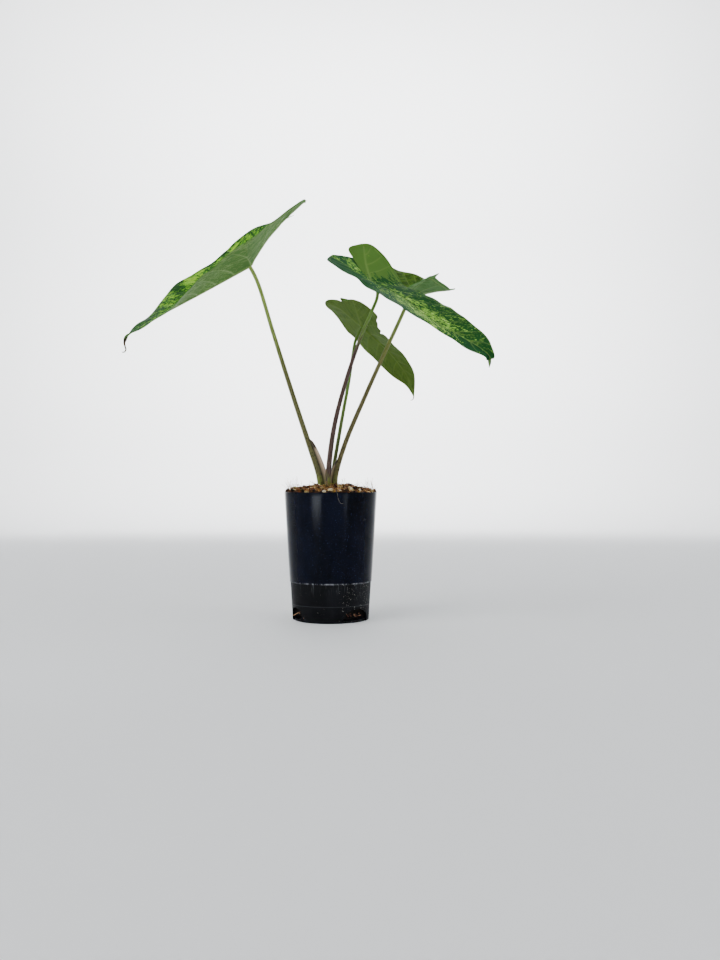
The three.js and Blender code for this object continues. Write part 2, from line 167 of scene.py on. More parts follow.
# Pot: a thin-walled black nursery pot, injection moulded. It is glossy above a small step and dull and dusty
# under it, with a dried line of lime along the step, a fine mould line and arched drain notches at the foot.
POT_HEIGHT, RIM_RADIUS, FOOT_RADIUS, POT_WALL, POT_FLOOR = 103, 37.5, 31.2, 1.2, 1.6
STEP_HEIGHT, STEP_DEPTH, MOULD_LINE_HEIGHT, MOULD_LINE_DEPTH = 31, 0.5, 13.2, 0.16
NOTCH_HEIGHT, NOTCH_INSIDE, NOTCHES = 11, 29.3, ((-46, 25), (78, 25), (207, 18))
POT_SIDES = 192
ARCH_POINTS, ARCH_RISE, CUTTER_REACH = 25, 0.6, 12
KINDS.update({
    "sideways": ("ShaderNodeSeparateXYZ", (0,), "X", {}),
    "stretch": ("ShaderNodeMapping", ("Vector", "Scale"), 0, {}),
    "noise": ("ShaderNodeTexNoise", ("Vector", "Scale", "Detail", "Roughness"), "Fac", {}),
    "bump": ("ShaderNodeBump", ("Height", "Strength", "Distance"), 0, {}),
    "sum": ("ShaderNodeMath", (0, 1), 0, {"operation": "ADD"}),
    "product": ("ShaderNodeMath", (0, 1), 0, {"operation": "MULTIPLY"}),
})


def pot_radius(z):
    return FOOT_RADIUS + (RIM_RADIUS - FOOT_RADIUS) * z / POT_HEIGHT - (STEP_DEPTH if z < STEP_HEIGHT else 0)


def tinted(tree, colour, cover, strength, code):
    """The colour with another laid over it, at the given strength where cover is 1."""
    return add(tree, "mix", add(tree, "product", cover, strength), colour, linear(code))


outer = [(pot_radius(0) - 1.0, 0), (pot_radius(0) - 0.4, 0.15)]
outer += [(pot_radius(z), z) for z in (0.6, 1.2, 3, 6, 9, 12, 12.9)]
outer += [(pot_radius(MOULD_LINE_HEIGHT) + MOULD_LINE_DEPTH, MOULD_LINE_HEIGHT), (pot_radius(13.5), 13.5)]
outer += [(pot_radius(z), z) for z in (16, 20, 24, 28, 30.2, 30.5)]
outer += [(pot_radius(STEP_HEIGHT) - 0.12, 30.85), (pot_radius(STEP_HEIGHT), 31.05), (pot_radius(31.4), 31.4)]
outer += [(pot_radius(z), z) for z in np.linspace(33, 102.3, 26)]
top = pot_radius(POT_HEIGHT)
rim = [(top - 0.05, 102.7), (top - 0.25, 102.93), (top - 0.6, 103), (top - 0.95, 102.93), (top - 1.15, 102.7)]
inner = [(pot_radius(z) - POT_WALL, z) for z in (102.2, 98, 80, 60, STEP_HEIGHT + 0.5)]
inner += [(pot_radius(20) - POT_WALL, 20), (pot_radius(2) - POT_WALL, POT_FLOOR + 0.4), (28, POT_FLOOR)]
profile = outer + rim + inner
vertices = np.vstack([turned_rings(profile, POT_SIDES), [[0, 0, 0], [0, 0, POT_FLOOR]]])
faces = [tuple(q) for q in grid_faces(len(profile), POT_SIDES, closed=True)]
under_middle = len(profile) * POT_SIDES
last = (len(profile) - 1) * POT_SIDES
for s in range(POT_SIDES):
    n = (s + 1) % POT_SIDES
    faces.append((under_middle, n, s))
    faces.append((under_middle + 1, last + s, last + n))

# Moulded black polypropylene: a smooth blue-black skin with soft-edged streaks of light, and below the step
# a dull grey-black one with dried lime, drips and specks of dust. The specks are drawn about a millimetre
# across, as coarse as they need to be to show.
pot_material, tree, shader = new_material("moulded_black_polypropylene")
place = add(tree, "object place")
sideways = add(tree, "sideways", place)
height = add(tree, "height", place)
flat_place = add(tree, "stretch", place, (1, 1, 0.35))
smear = add(tree, "noise", flat_place, 0.05 / MM, 4, 0.6)
grain = add(tree, "noise", place, 1.6 / MM, 3, 0.6)
speckle = add(tree, "noise", place, 0.75 / MM, 4, 0.7)
low_part = add(tree, "between", height, 31.2 * MM, 30.6 * MM)
line_noise = add(tree, "noise", flat_place, 0.35 / MM, 4, 0.7)
line_band = add(tree, "product", add(tree, "between", height, 30.4 * MM, 30.9 * MM),
                add(tree, "between", height, 32.0 * MM, 31.4 * MM))
lime_line = add(tree, "product", line_band, add(tree, "between", line_noise, 0.4, 0.68))
drip_noise = add(tree, "noise", add(tree, "stretch", place, (1, 1, 0.05)), 0.9 / MM, 3, 0.7)
drips = add(tree, "product", add(tree, "between", drip_noise, 0.55, 0.7),
            add(tree, "product", low_part, add(tree, "between", height, 20 * MM, 31 * MM)))
dust = add(tree, "product", low_part, add(tree, "between", smear, 0.35, 0.75))
right_side = add(tree, "between", sideways, 2 * MM, 12 * MM)
soiled = add(tree, "product", add(tree, "product", low_part, right_side), 0.065)
specks = add(tree, "between", add(tree, "sum", speckle, soiled), 0.68, 0.73)
specks = add(tree, "product", specks, add(tree, "sum", add(tree, "product", low_part, 0.9), 0.1))
motes = add(tree, "between", add(tree, "noise", place, 1.1 / MM, 2, 0.6), 0.62, 0.72)
mould_line = add(tree, "product", add(tree, "between", height, 12.7 * MM, 13.1 * MM),
                 add(tree, "between", height, 13.7 * MM, 13.3 * MM))
gloss_black = add(tree, "mix", add(tree, "between", smear, 0.3, 0.8), linear("#03050d"), linear("#080c1d"))
gloss_black = tinted(tree, gloss_black, motes, 0.4, "#2d3b62")
dull_black = add(tree, "mix", dust, linear("#090a0d"), linear("#15161a"))
dull_black = tinted(tree, dull_black, drips, 0.45, "#5a5c60")
dull_black = tinted(tree, dull_black, mould_line, 0.18, "#55585e")
colour = add(tree, "mix", low_part, gloss_black, dull_black)
colour = tinted(tree, colour, lime_line, 0.6, "#8f9298")
colour = tinted(tree, colour, specks, 0.8, "#8b8a84")
roughness = add(tree, "sum", add(tree, "product", low_part, 0.35), add(tree, "product", smear, 0.14))
roughness = add(tree, "sum", roughness, add(tree, "product", lime_line, 0.4))
join(tree, shader, {"Base Color": colour, "Roughness": add(tree, "sum", roughness, 0.08, use_clamp=True),
                    "Specular IOR Level": 0.06, "Normal": add(tree, "bump", grain, 0.06, 0.1 * MM)})

pot = mesh_object("nursery_pot", vertices, faces, pot_material)
for direction, width in NOTCHES:
    # The cutter's rows of points: near and low, near and high, far and high, far and low.
    half = width / 2
    spring = NOTCH_HEIGHT - half * ARCH_RISE
    across = half * np.cos(np.linspace(math.pi, 0, ARCH_POINTS))
    top_edge = spring + half * ARCH_RISE * np.sin(np.linspace(0, math.pi, ARCH_POINTS))
    near = np.sqrt(NOTCH_INSIDE ** 2 - across ** 2)
    far = np.full(ARCH_POINTS, float(FOOT_RADIUS + CUTTER_REACH))
    under = np.full(ARCH_POINTS, -1.0)
    rows = ((near, under), (near, top_edge), (far, top_edge), (far, under))
    points = np.vstack([np.stack([out, across, up], -1) for out, up in rows])
    n = ARCH_POINTS
    sides = [tuple(q) for q in grid_faces(len(rows), n, flip=True)]
    sides += [(i, i + 1, 3 * n + 1 + i, 3 * n + i) for i in range(n - 1)]
    sides += [(3 * n, 2 * n, n, 0), (n - 1, 2 * n - 1, 3 * n - 1, 4 * n - 1)]
    cutter = mesh_object("cutter", points, sides, pot_material)
    cutter.rotation_euler = (0, 0, math.radians(direction))
    cut = pot.modifiers.new("notch", "BOOLEAN")
    cut.operation, cut.solver, cut.object = "DIFFERENCE", "EXACT", cutter
    bpy.context.view_layer.update()
    cut_mesh = bpy.data.meshes.new_from_object(pot.evaluated_get(bpy.context.evaluated_depsgraph_get()))
    pot.modifiers.clear()
    pot.data = cut_mesh
    bpy.data.objects.remove(cutter)
pot.data.shade_smooth()
pot.data.set_sharp_from_angle(angle=math.radians(35))
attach(pot, "root")
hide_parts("pot")

# Potting mix: dark bark chips, coir fibre and a little white perlite, domed over the rim, with a rough flank
# that shows in the drain notches.
MIX_EDGE_HEIGHT, MIX_CROWN_HEIGHT, MIX_SLOPE = 103.2, 108.3, 0.025
MIX_CLEARANCE, MIX_LUMP_SIZE, MIX_LUMP_HEIGHT = 0.25, 7, 1.1
DENT_DEPTH, DENT_SIZE, DENT_TOP = 0.7, 4, 20
HOLLOW_DEPTH, HOLLOW_TOP, HOLLOW_MARGIN = 4, 13, 2
MIX_RINGS, MIX_SIDES = 60, 200
mix_edge = pot_radius(MIX_EDGE_HEIGHT) - POT_WALL - MIX_CLEARANCE


def mix_height(x, y):
    r = math.hypot(x, y) / mix_edge
    lumps = noise.fractal(Vector((x, y, 3.0)) / MIX_LUMP_SIZE, 0.6, 2.0, 4)
    dome = MIX_CROWN_HEIGHT - (MIX_CROWN_HEIGHT - MIX_EDGE_HEIGHT) * r ** 1.6
    return dome + MIX_SLOPE * x * (1 - r ** 2) - 0.3 + MIX_LUMP_HEIGHT * lumps


turn = np.linspace(0, 2 * math.pi, MIX_SIDES, endpoint=False)
mix_points = []
for r in np.linspace(0.5, mix_edge, MIX_RINGS):
    for x, y in zip(r * np.cos(turn), r * np.sin(turn)):
        mix_points.append((x, y, mix_height(x, y)))
for z in (95, 80, 60, 40, 31, 24, 16, 14, 12, 10, 8, 6, 4, 2.2):
    flank = pot_radius(z) - POT_WALL - MIX_CLEARANCE
    for a in turn:
        x, y = flank * math.cos(a), flank * math.sin(a)
        rough = abs(noise.fractal(Vector((x, y, z)) / DENT_SIZE, 0.6, 2.0, 3))
        dent = DENT_DEPTH * rough if z < DENT_TOP else 0
        for direction, width in NOTCHES:
            off = abs((math.degrees(a) - direction + 180) % 360 - 180)
            if z < HOLLOW_TOP:
                hollow = HOLLOW_DEPTH * max(0, 1 - (off / (width + HOLLOW_MARGIN)) ** 4)
                dent += hollow * (1 - (z / HOLLOW_TOP) ** 3)
        mix_points.append(((flank - dent) * math.cos(a), (flank - dent) * math.sin(a), z))
mix_rows = len(mix_points) // MIX_SIDES
faces = [tuple(q) for q in grid_faces(mix_rows, MIX_SIDES, closed=True, flip=True)]
faces.append(tuple(range(MIX_SIDES)))
faces.append(tuple(range((mix_rows - 1) * MIX_SIDES, mix_rows * MIX_SIDES))[::-1])

# Damp composted bark: broken brown and near black in clods of about 4 mm, with no shine.
mix_material, tree, shader = new_material("damp_composted_bark")
place = add(tree, "object place")
clods = add(tree, "noise", place, 0.25 / MM, 5, 0.65)
crumbs = add(tree, "noise", place, 1.2 / MM, 4, 0.7)
colour = add(tree, "mix", add(tree, "between", clods, 0.35, 0.65), linear("#1c110a"), linear("#4a2f1c"))
colour = add(tree, "mix", add(tree, "between", crumbs, 0.55, 0.72), colour, linear("#8a6238"))
# Lower down in the pot the bark darkens to near black: painted shade inside the pot and behind the notches.
deep_shade = add(tree, "between", add(tree, "height", place), 60 * MM, 20 * MM)
colour = add(tree, "mix", deep_shade, colour, linear("#0d0907"))
join(tree, shader, {"Base Color": colour, "Roughness": 0.95, "Specular IOR Level": 0.2,
                    "Normal": add(tree, "bump", crumbs, 0.8, 0.8 * MM)})
mix = mesh_object("potting_mix_body", mix_points, faces, mix_material)
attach(mix, "root")
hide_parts("potting_mix")

# Loose bits on the mix: bark chips, pale wood slivers, perlite grains and crumbs, each a small rough block
# that is scattered over the top of the mix and sunk a little into it.
FULL_TURN = 6.28
KINDS.update({
    "scatter": ("GeometryNodeDistributePointsOnFaces", ("Mesh", "Density", "Seed"), "Points", {}),
    "random": ("FunctionNodeRandomValue", (0, 1, "Seed"), 0, {"data_type": "FLOAT_VECTOR"}),
    "block": ("GeometryNodeMeshCube", ("Size", "Vertices X", "Vertices Y", "Vertices Z"), "Mesh", {}),
    "copies": ("GeometryNodeInstanceOnPoints", ("Points", "Instance", "Rotation", "Scale"), 0, {}),
    "made real": ("GeometryNodeRealizeInstances", ("Geometry",), 0, {}),
    "shifted": ("GeometryNodeSetPosition", ("Geometry", "Offset"), 0, {}),
    "finished": ("GeometryNodeSetMaterial", ("Geometry", "Material"), 0, {}),
    "point place": ("GeometryNodeInputPosition", (), 0, {}),
    "noise colour": ("ShaderNodeTexNoise", ("Vector", "Scale", "Detail"), "Color", {}),
    "vector less": ("ShaderNodeVectorMath", (0, 1), 0, {"operation": "SUBTRACT"}),
    "vector scaled": ("ShaderNodeVectorMath", (0, "Scale"), 0, {"operation": "SCALE"}),
})


def tree_with_inputs(name, sizes):
    """A Geometry Nodes tree that takes a carrier mesh and the named sizes."""
    tree = bpy.data.node_groups.new(name, "GeometryNodeTree")
    tree.interface.new_socket("Carrier", in_out="INPUT", socket_type="NodeSocketGeometry")
    for label, kind in sizes.items():
        tree.interface.new_socket(label, in_out="INPUT", socket_type="NodeSocket" + kind)
    tree.interface.new_socket("Grown", in_out="OUTPUT", socket_type="NodeSocketGeometry")
    return tree, tree.nodes.new("NodeGroupInput").outputs


def finish_tree(tree, grown, material):
    """Ends a tree in Realize Instances and Set Material."""
    real = add(tree, "finished", add(tree, "made real", grown), material)
    join(tree, tree.nodes.new("NodeGroupOutput"), {"Grown": real})


def grow(name, tree, carrier_mesh, sizes):
    """A plain mesh object of what the tree grows on the carrier, riding on the pot's body."""
    carrier = bpy.data.objects.new("carrier", carrier_mesh)
    growth = carrier.modifiers.new("growth", "NODES")
    growth.node_group = tree
    for socket in tree.interface.items_tree:
        if socket.in_out == "INPUT" and socket.name in sizes:
            growth[socket.identifier] = sizes[socket.name]
    bpy.context.collection.objects.link(carrier)
    bpy.context.view_layer.update()
    grown_mesh = bpy.data.meshes.new_from_object(carrier.evaluated_get(bpy.context.evaluated_depsgraph_get()))
    bpy.data.objects.remove(carrier)
    piece = bpy.data.objects.new(name, grown_mesh)
    bpy.context.collection.objects.link(piece)
    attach(piece, "root")
    return piece


def jitter(tree, per_mm, amount):
    """A noise offset for each point, amount metres each way."""
    grain = add(tree, "noise colour", add(tree, "point place"), per_mm / MM, 1.0)
    return add(tree, "vector scaled", add(tree, "vector less", grain, (0.5, 0.5, 0.5)), amount)


def scattered(tree, given, shape, least, most, least_turn, most_turn):
    """Copies of a shape on the carrier, sized and turned at random between the named inputs."""
    spots = add(tree, "scatter", given["Carrier"], given["Density"], given["Seed"])
    size = add(tree, "random", given[least], given[most], given["Seed"])
    turned = add(tree, "random", given[least_turn], given[most_turn], given["Seed"])
    return add(tree, "made real", add(tree, "copies", spots, shape, turned, size))


def mix_carrier(name, smallest, largest):
    """The part of the mix's top between two radii, as a carrier."""
    rows = [i for i, r in enumerate(np.linspace(0.5, mix_edge, MIX_RINGS)) if smallest <= r <= largest]
    mesh = bpy.data.meshes.new(name)
    points = mix_points[rows[0] * MIX_SIDES:(rows[-1] + 1) * MIX_SIDES]
    mesh.from_pydata([tuple(v) for v in np.asarray(points) * MM], [],
                     [tuple(q) for q in grid_faces(len(rows), MIX_SIDES, closed=True, flip=True)])
    return mesh


BITS = {
    "bark_chips": dict(
        radii=(8, 35), count=95, least=(2.5, 1.8, 1.2), most=(7.5, 4.4, 3.4), tilt=0.6, rough=1.6, seed=4,
        colours=("#100a06", "#35200f", "#74421f")),
    "wood_slivers": dict(
        radii=(7, 35.4), count=210, least=(2.0, 0.6, 0.4), most=(6.5, 1.8, 1.0), tilt=0.45, rough=0.8,
        seed=11, colours=("#6e5a1e", "#c88e4a", "#f2dfb4")),
    "perlite": dict(
        radii=(6, 34.5), count=48, least=(1.0, 1.0, 0.8), most=(4.2, 3.2, 2.4), tilt=3.0, rough=1.3, seed=21,
        colours=("#bfa86c", "#e3d3a2", "#f7efd8")),
    "mix_crumbs": dict(
        radii=(3, 36), count=700, least=(0.6, 0.6, 0.5), most=(1.9, 1.6, 1.3), tilt=3.0, rough=0.7, seed=33,
        colours=("#140d07", "#6b4622", "#d2a468")),
}
for name, bit in BITS.items():
    # Bark is dark and torn, split wood pale along its grain, perlite a chalky cream: all dry and matt.
    bit_material, tree, shader = new_material("dry_" + name)
    place = add(tree, "object place")
    kind = add(tree, "noise", place, 0.22 / MM, 1, 0.5)
    grain = add(tree, "noise", place, 2.0 / MM, 3, 0.7)
    deep, middle, light = [linear(code) for code in bit["colours"]]
    colour = add(tree, "mix", add(tree, "between", kind, 0.4, 0.52), deep, middle)
    lightness = add(tree, "sum", add(tree, "product", kind, 0.6), add(tree, "product", grain, 0.4))
    colour = add(tree, "mix", add(tree, "between", lightness, 0.5, 0.62), colour, light)
    join(tree, shader, {"Base Color": colour, "Roughness": 0.9, "Specular IOR Level": 0.2,
                        "Normal": add(tree, "bump", grain, 0.7, 0.3 * MM)})

    tree, given = tree_with_inputs("scatter_" + name, {
        "Density": "Float", "Least": "Vector", "Most": "Vector", "Tilt": "Vector", "Turn": "Vector",
        "Seed": "Int"})
    block = add(tree, "block", (1, 1, 1), 4, 3, 3)
    blocks = scattered(tree, given, block, "Least", "Most", "Tilt", "Turn")
    blocks = add(tree, "shifted", blocks, jitter(tree, 0.7, bit["rough"] * MM))
    finish_tree(tree, blocks, bit_material)
    area = math.pi * (bit["radii"][1] ** 2 - bit["radii"][0] ** 2) * MM * MM
    grow(name, tree, mix_carrier(name, *bit["radii"]), {
        "Density": bit["count"] / area, "Seed": bit["seed"],
        "Least": tuple(v * MM for v in bit["least"]), "Most": tuple(v * MM for v in bit["most"]),
        "Tilt": (-bit["tilt"], -bit["tilt"], 0.0), "Turn": (bit["tilt"], bit["tilt"], FULL_TURN)})

# Threads: coir fibres that lie on the mix, fine hairs that stand up along the rim, and pale root ends that
# show in the drain notches. Each is a thin bent tube.
KINDS.update({
    "line": ("GeometryNodeCurvePrimitiveLine", ("Start", "End"), 0, {}),
    "resampled": ("GeometryNodeResampleCurve", ("Curve", "Count"), 0, {}),
    "share along": ("GeometryNodeSplineParameter", (), "Factor", {}),
    "ring": ("GeometryNodeCurvePrimitiveCircle", ("Resolution", "Radius"), 0, {}),
    "tube": ("GeometryNodeCurveToMesh", ("Curve", "Profile Curve", "Fill Caps"), 0, {}),
})
NOTCH_ROOT_RADIUS = FOOT_RADIUS - 5
notch_patches = bpy.data.meshes.new("notch_patches")
patch_points, patch_faces = [], []
for direction, width in NOTCHES:
    start = len(patch_points)
    for z in (4.5, 6, 8):
        for angle in np.radians(np.linspace(direction - width * 0.6, direction + width * 0.6, 6)):
            patch_points.append((NOTCH_ROOT_RADIUS * math.cos(angle), NOTCH_ROOT_RADIUS * math.sin(angle), z))
    patch_faces += [tuple(q) for q in grid_faces(3, 6, start)]
notch_patches.from_pydata([tuple(v) for v in np.asarray(patch_points) * MM], [], patch_faces)
THREADS = {
    "coir_fibres": dict(
        carrier=mix_carrier("coir", 6, 29), area=2530, count=150, shortest=4, longest=14, radius=0.16, bend=5,
        lean=(1.25, 1.65), seed=5, colours=("#8a5020", "#c09450", "#8c8424")),
    "rim_hairs": dict(
        carrier=mix_carrier("hairs", 32.5, 35.5), area=640, count=170, shortest=3, longest=12, radius=0.085,
        bend=6, lean=(0.1, 1.25), seed=9, colours=("#9a6a44", "#c09a70", "#7a4a28")),
    "notch_roots": dict(
        carrier=notch_patches, area=220, count=36, shortest=1.5, longest=8, radius=0.28, bend=6,
        lean=(0.5, 2.0), seed=14, colours=("#4a281c", "#8a5a46", "#c9a07c")),
}
for name, thread in THREADS.items():
    # Coir and root hair: tan to red brown along each strand, with a faint dry sheen.
    thread_material, tree, shader = new_material("dry_" + name)
    place = add(tree, "object place")
    kind = add(tree, "noise", place, 0.25 / MM, 1, 0.5)
    grain = add(tree, "noise", place, 1.5 / MM, 2, 0.6)
    first, second, third = [linear(code) for code in thread["colours"]]
    colour = add(tree, "mix", add(tree, "between", grain, 0.4, 0.6), first, second)
    colour = add(tree, "mix", add(tree, "between", kind, 0.52, 0.6), colour, third)
    join(tree, shader, {"Base Color": colour, "Roughness": 0.75, "Specular IOR Level": 0.3})

    tree, given = tree_with_inputs("threads_" + name, {
        "Density": "Float", "Shortest": "Vector", "Longest": "Vector", "Radius": "Float",
        "Least Lean": "Vector", "Most Lean": "Vector", "Seed": "Int"})
    strand = add(tree, "resampled", add(tree, "line", (0, 0, 0), (0, 0, 1)), 9)
    strands = scattered(tree, given, strand, "Shortest", "Longest", "Least Lean", "Most Lean")
    offset = add(tree, "vector scaled", jitter(tree, 0.12, thread["bend"] * MM), add(tree, "share along"))
    strands = add(tree, "shifted", strands, offset)
    tubes = add(tree, "tube", strands, add(tree, "ring", 5, given["Radius"]), True)
    finish_tree(tree, tubes, thread_material)
    grow(name, tree, thread["carrier"], {
        "Density": thread["count"] / (thread["area"] * MM * MM), "Seed": thread["seed"],
        "Shortest": (MM, MM, thread["shortest"] * MM), "Longest": (MM, MM, thread["longest"] * MM),
        "Radius": thread["radius"] * MM,
        "Least Lean": (thread["lean"][0], 0.0, 0.0), "Most Lean": (thread["lean"][1], 0.0, FULL_TURN)})

# Corm: the rounded starchy base of the plant, hidden in the mix. Its corky skin is rough, matt and brown,
# with darker rings about 4 mm apart.
KINDS["bands"] = ("ShaderNodeTexWave", ("Vector", "Scale", "Distortion", "Detail"), "Fac",
                  {"bands_direction": "Z"})
corm_material, tree, shader = new_material("corky_corm_skin")
place = add(tree, "object place")
rings = add(tree, "bands", place, 0.25 / MM, 3.0, 3.0)
skin = add(tree, "noise", place, 0.8 / MM, 4, 0.65)
colour = tinted(tree, add(tree, "mix", skin, linear("#3a2415"), linear("#7a5636")), rings, 0.4, "#2a180e")
join(tree, shader, {"Base Color": colour, "Roughness": 0.85,
                    "Normal": add(tree, "bump", skin, 0.6, 0.4 * MM)})
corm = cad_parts["corm"]
corm.data.materials.clear()
corm.data.materials.append(corm_material)

# Leaf stalks: smooth round petioles, fresh green under the blades and olive to purple brown towards the
# crown, drawn out into a clasping sheath at the foot.
STALK_RINGS, STALK_SIDES, LINE_STEPS = 220, 28, 60
KINDS.update({
    "own map": ("ShaderNodeUVMap", (), 0, {}),
    "attribute": ("ShaderNodeAttribute", (), "Fac", {}),
    "difference": ("ShaderNodeMath", (0, 1), 0, {"operation": "SUBTRACT"}),
})
STALKS = {
    "stalk_left": dict(
        path=[(-7.5, -1, 101), (-9.5, -1, 116), (-17.5, -3, 141.5), (-30, -6, 180), (-46, -9.5, 231),
              (-57.5, -11.5, 269), (-62, -12, 279), (-64.5, -12.3, 283.2)],
        foot=2.5, top=1.6, sheath=45, wing=4.4, paper=0.9, facing=0, low="#5f5d34", high="#94ab55",
        change=(0.5, 0.9)),
    "stalk_right": dict(
        path=[(-2.5, -4.5, 101), (-2, -5, 116), (2.8, -10, 154), (12.7, -15.5, 192), (26.2, -23, 229.9),
              (32.8, -26, 244.7), (37.2, -27.2, 256), (37, -27.8, 262.5), (34.5, -28, 267)],
        foot=2.5, top=1.35, sheath=30, wing=1.5, paper=0.3, facing=60, low="#4c3a32", high="#5f8034",
        change=(0.68, 0.82)),
    "stalk_low": dict(
        path=[(1, 4.5, 101), (1.5, 5, 116), (7.5, 12, 155), (14.5, 24, 195.5), (17.5, 33, 217),
              (20, 40, 231.5), (25.4, 44.9, 242.8)],
        foot=1.8, top=1.3, sheath=22, wing=1.5, paper=0.3, facing=-120, low="#4f5a2c", high="#5a7a30",
        change=(0.1, 0.7)),
    "stalk_back": dict(
        path=[(3.5, 0, 101), (4, 0.5, 116), (11.5, 3.5, 142), (28, 9, 181.5), (46, 15.5, 222),
              (58.5, 27, 250), (65.3, 40.8, 266.8)],
        foot=2.2, top=1.6, sheath=28, wing=2, paper=0.35, facing=180, low="#625b36", high="#7f9148",
        change=(0.5, 0.95)),
}


def smooth_line(points, steps=LINE_STEPS):
    """A centripetal Catmull-Rom line through the points, as a dense list of points."""
    points = np.asarray(points, float)
    points = np.vstack([2 * points[0] - points[1], points, 2 * points[-1] - points[-2]])
    line = []
    for i in range(1, len(points) - 2):
        p0, p1, p2, p3 = points[i - 1:i + 3]
        d0, d1, d2 = [max(np.linalg.norm(b - a), 1e-9) ** 0.5 for a, b in ((p0, p1), (p1, p2), (p2, p3))]
        start = ((p1 - p0) / d0 - (p2 - p0) / (d0 + d1) + (p2 - p1) / d1) * d1
        end = ((p2 - p1) / d1 - (p3 - p1) / (d1 + d2) + (p3 - p2) / d2) * d1
        t = (np.arange(steps) / steps)[:, None]
        line.append(p1 + start * t + (3 * (p2 - p1) - 2 * start - end) * t ** 2
                    + (2 * (p1 - p2) + start + end) * t ** 3)
    line.append(points[-2][None])
    return np.vstack(line)


def lengths_of(line):
    return np.concatenate([[0], np.cumsum(np.linalg.norm(np.diff(line, axis=0), axis=1))])


def place_on(line, lengths, distance):
    """Points on a dense line at distances along it."""
    return np.stack([np.interp(distance, lengths, line[:, i]) for i in range(line.shape[1])], -1)


def tube_frame(line, facing):
    """Unit vectors across a line, as near to facing as they can be, and beside it."""
    along = np.gradient(line, axis=0)
    along /= np.linalg.norm(along, axis=1)[:, None]
    across = facing - along * (along @ facing)[:, None]
    across /= np.linalg.norm(across, axis=1)[:, None]
    return across, np.cross(along, across)


def tube_faces(rings, sides):
    """Faces of a tube with closed ends."""
    faces = [tuple(q) for q in grid_faces(rings, sides, closed=True)]
    return faces + [tuple(range(sides))[::-1], tuple(range((rings - 1) * sides, rings * sides))]


for name, stalk in STALKS.items():
    # Petiole skin: smooth, waxy and softly shining, green that turns olive or purple brown in long streaks,
    # with a papery tan edge on the sheath, and a dark line of painted shade where the sheath's wing meets
    # the stalk.
    stalk_material, tree, shader = new_material("petiole_skin_" + name)
    ring = add(tree, "own map", uv_map="skin")
    share, papery, dry, groove_shade = [add(tree, "attribute", attribute_name=kind)
                                  for kind in ("share", "papery", "dry", "groove_shade")]
    streaks = add(tree, "noise", add(tree, "stretch", ring, (1, 0.12, 1)), 1.1 / MM, 3, 0.6)
    flecks = add(tree, "noise", add(tree, "stretch", ring, (1, 0.3, 1)), 1.6 / MM, 3, 0.6)
    greenness = add(tree, "sum", share, add(tree, "product", add(tree, "difference", streaks, 0.5), 0.5))
    colour = add(tree, "mix", add(tree, "between", greenness, *stalk["change"]),
                 linear(stalk["low"]), linear(stalk["high"]))
    dark = add(tree, "product", add(tree, "between", flecks, 0.5, 0.64),
               add(tree, "between", share, 0.8, 0.25))
    foot_green = add(tree, "product", add(tree, "between", share, 0.12, 0.05),
                     add(tree, "between", streaks, 0.42, 0.58))
    for cover, strength, code in ((dark, 0.8, "#2e2219"), (foot_green, 0.8, "#77803a"),
                                  (groove_shade, 0.8, "#1f1c12"), (papery, stalk["paper"], "#d8bda2")):
        colour = tinted(tree, colour, cover, strength, code)
    colour = add(tree, "mix", dry, colour, linear("#241a12"))
    join(tree, shader, {"Base Color": colour, "Roughness": 0.45, "Specular IOR Level": 0.2,
                        "Normal": add(tree, "bump", streaks, 0.25, 0.3 * MM)})

    line = smooth_line(stalk["path"])
    lengths = lengths_of(line)
    shares = np.linspace(0, 1, STALK_RINGS)
    middle = place_on(line, lengths, shares * lengths[-1])
    facing = math.radians(stalk["facing"])
    across, beside = tube_frame(middle, np.array([math.cos(facing), math.sin(facing), 0]))
    radius = stalk["foot"] + (stalk["top"] - stalk["foot"]) * np.minimum(1, shares * 1.25) ** 0.8
    wing = stalk["wing"] * np.maximum(0, 1 - (shares * lengths[-1] / stalk["sheath"]) ** 3) ** 0.5
    turn = np.linspace(0, 2 * math.pi, STALK_SIDES, endpoint=False)
    reach = radius[:, None] + wing[:, None] * np.maximum(0, np.cos(turn))[None] ** 6
    points = middle[:, None] + across[:, None] * (reach * np.cos(turn))[..., None] \
        + beside[:, None] * (radius[:, None] * np.sin(turn))[..., None]
    faces = tube_faces(STALK_RINGS, STALK_SIDES)
    piece = mesh_object(name + "_skin", points.reshape(-1, 3), faces, stalk_material)
    has_wing = np.clip(wing / 0.5, 0, 1)[:, None]
    ridge = np.maximum(0, np.cos(turn))[None] ** 6
    on_wing = np.clip(ridge * 1.6, 0, 1) * has_wing
    above = (shares * lengths[-1] / stalk["sheath"])[:, None]
    wing_edge = np.clip((ridge - 0.35) * 3, 0, 1)
    # The groove mark is painted shade along the foot of the sheath's wing, where it meets the stalk.
    for attribute, values in (("share", np.repeat(shares, STALK_SIDES)),
                              ("papery", wing_edge * has_wing * np.clip(above * 2.5, 0, 1)),
                              ("dry", on_wing * np.clip((above - 0.8) / 0.06, 0, 1)),
                              ("groove_shade", has_wing * np.exp(-((np.cos(turn)[None] - 0.8) / 0.14) ** 2))):
        values = np.ascontiguousarray(np.broadcast_to(values, values.shape).ravel())
        piece.data.attributes.new(attribute, "FLOAT", "POINT").data.foreach_set("value", values)
    skin = piece.data.uv_layers.new(name="skin")
    around = np.tile(turn * 2, STALK_RINGS) * MM
    length = np.repeat(shares * lengths[-1], STALK_SIDES) * MM
    for loop in piece.data.loops:
        skin.data[loop.index].uv = (around[loop.vertex_index], length[loop.vertex_index])
    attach(piece, "root")
    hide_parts(name)

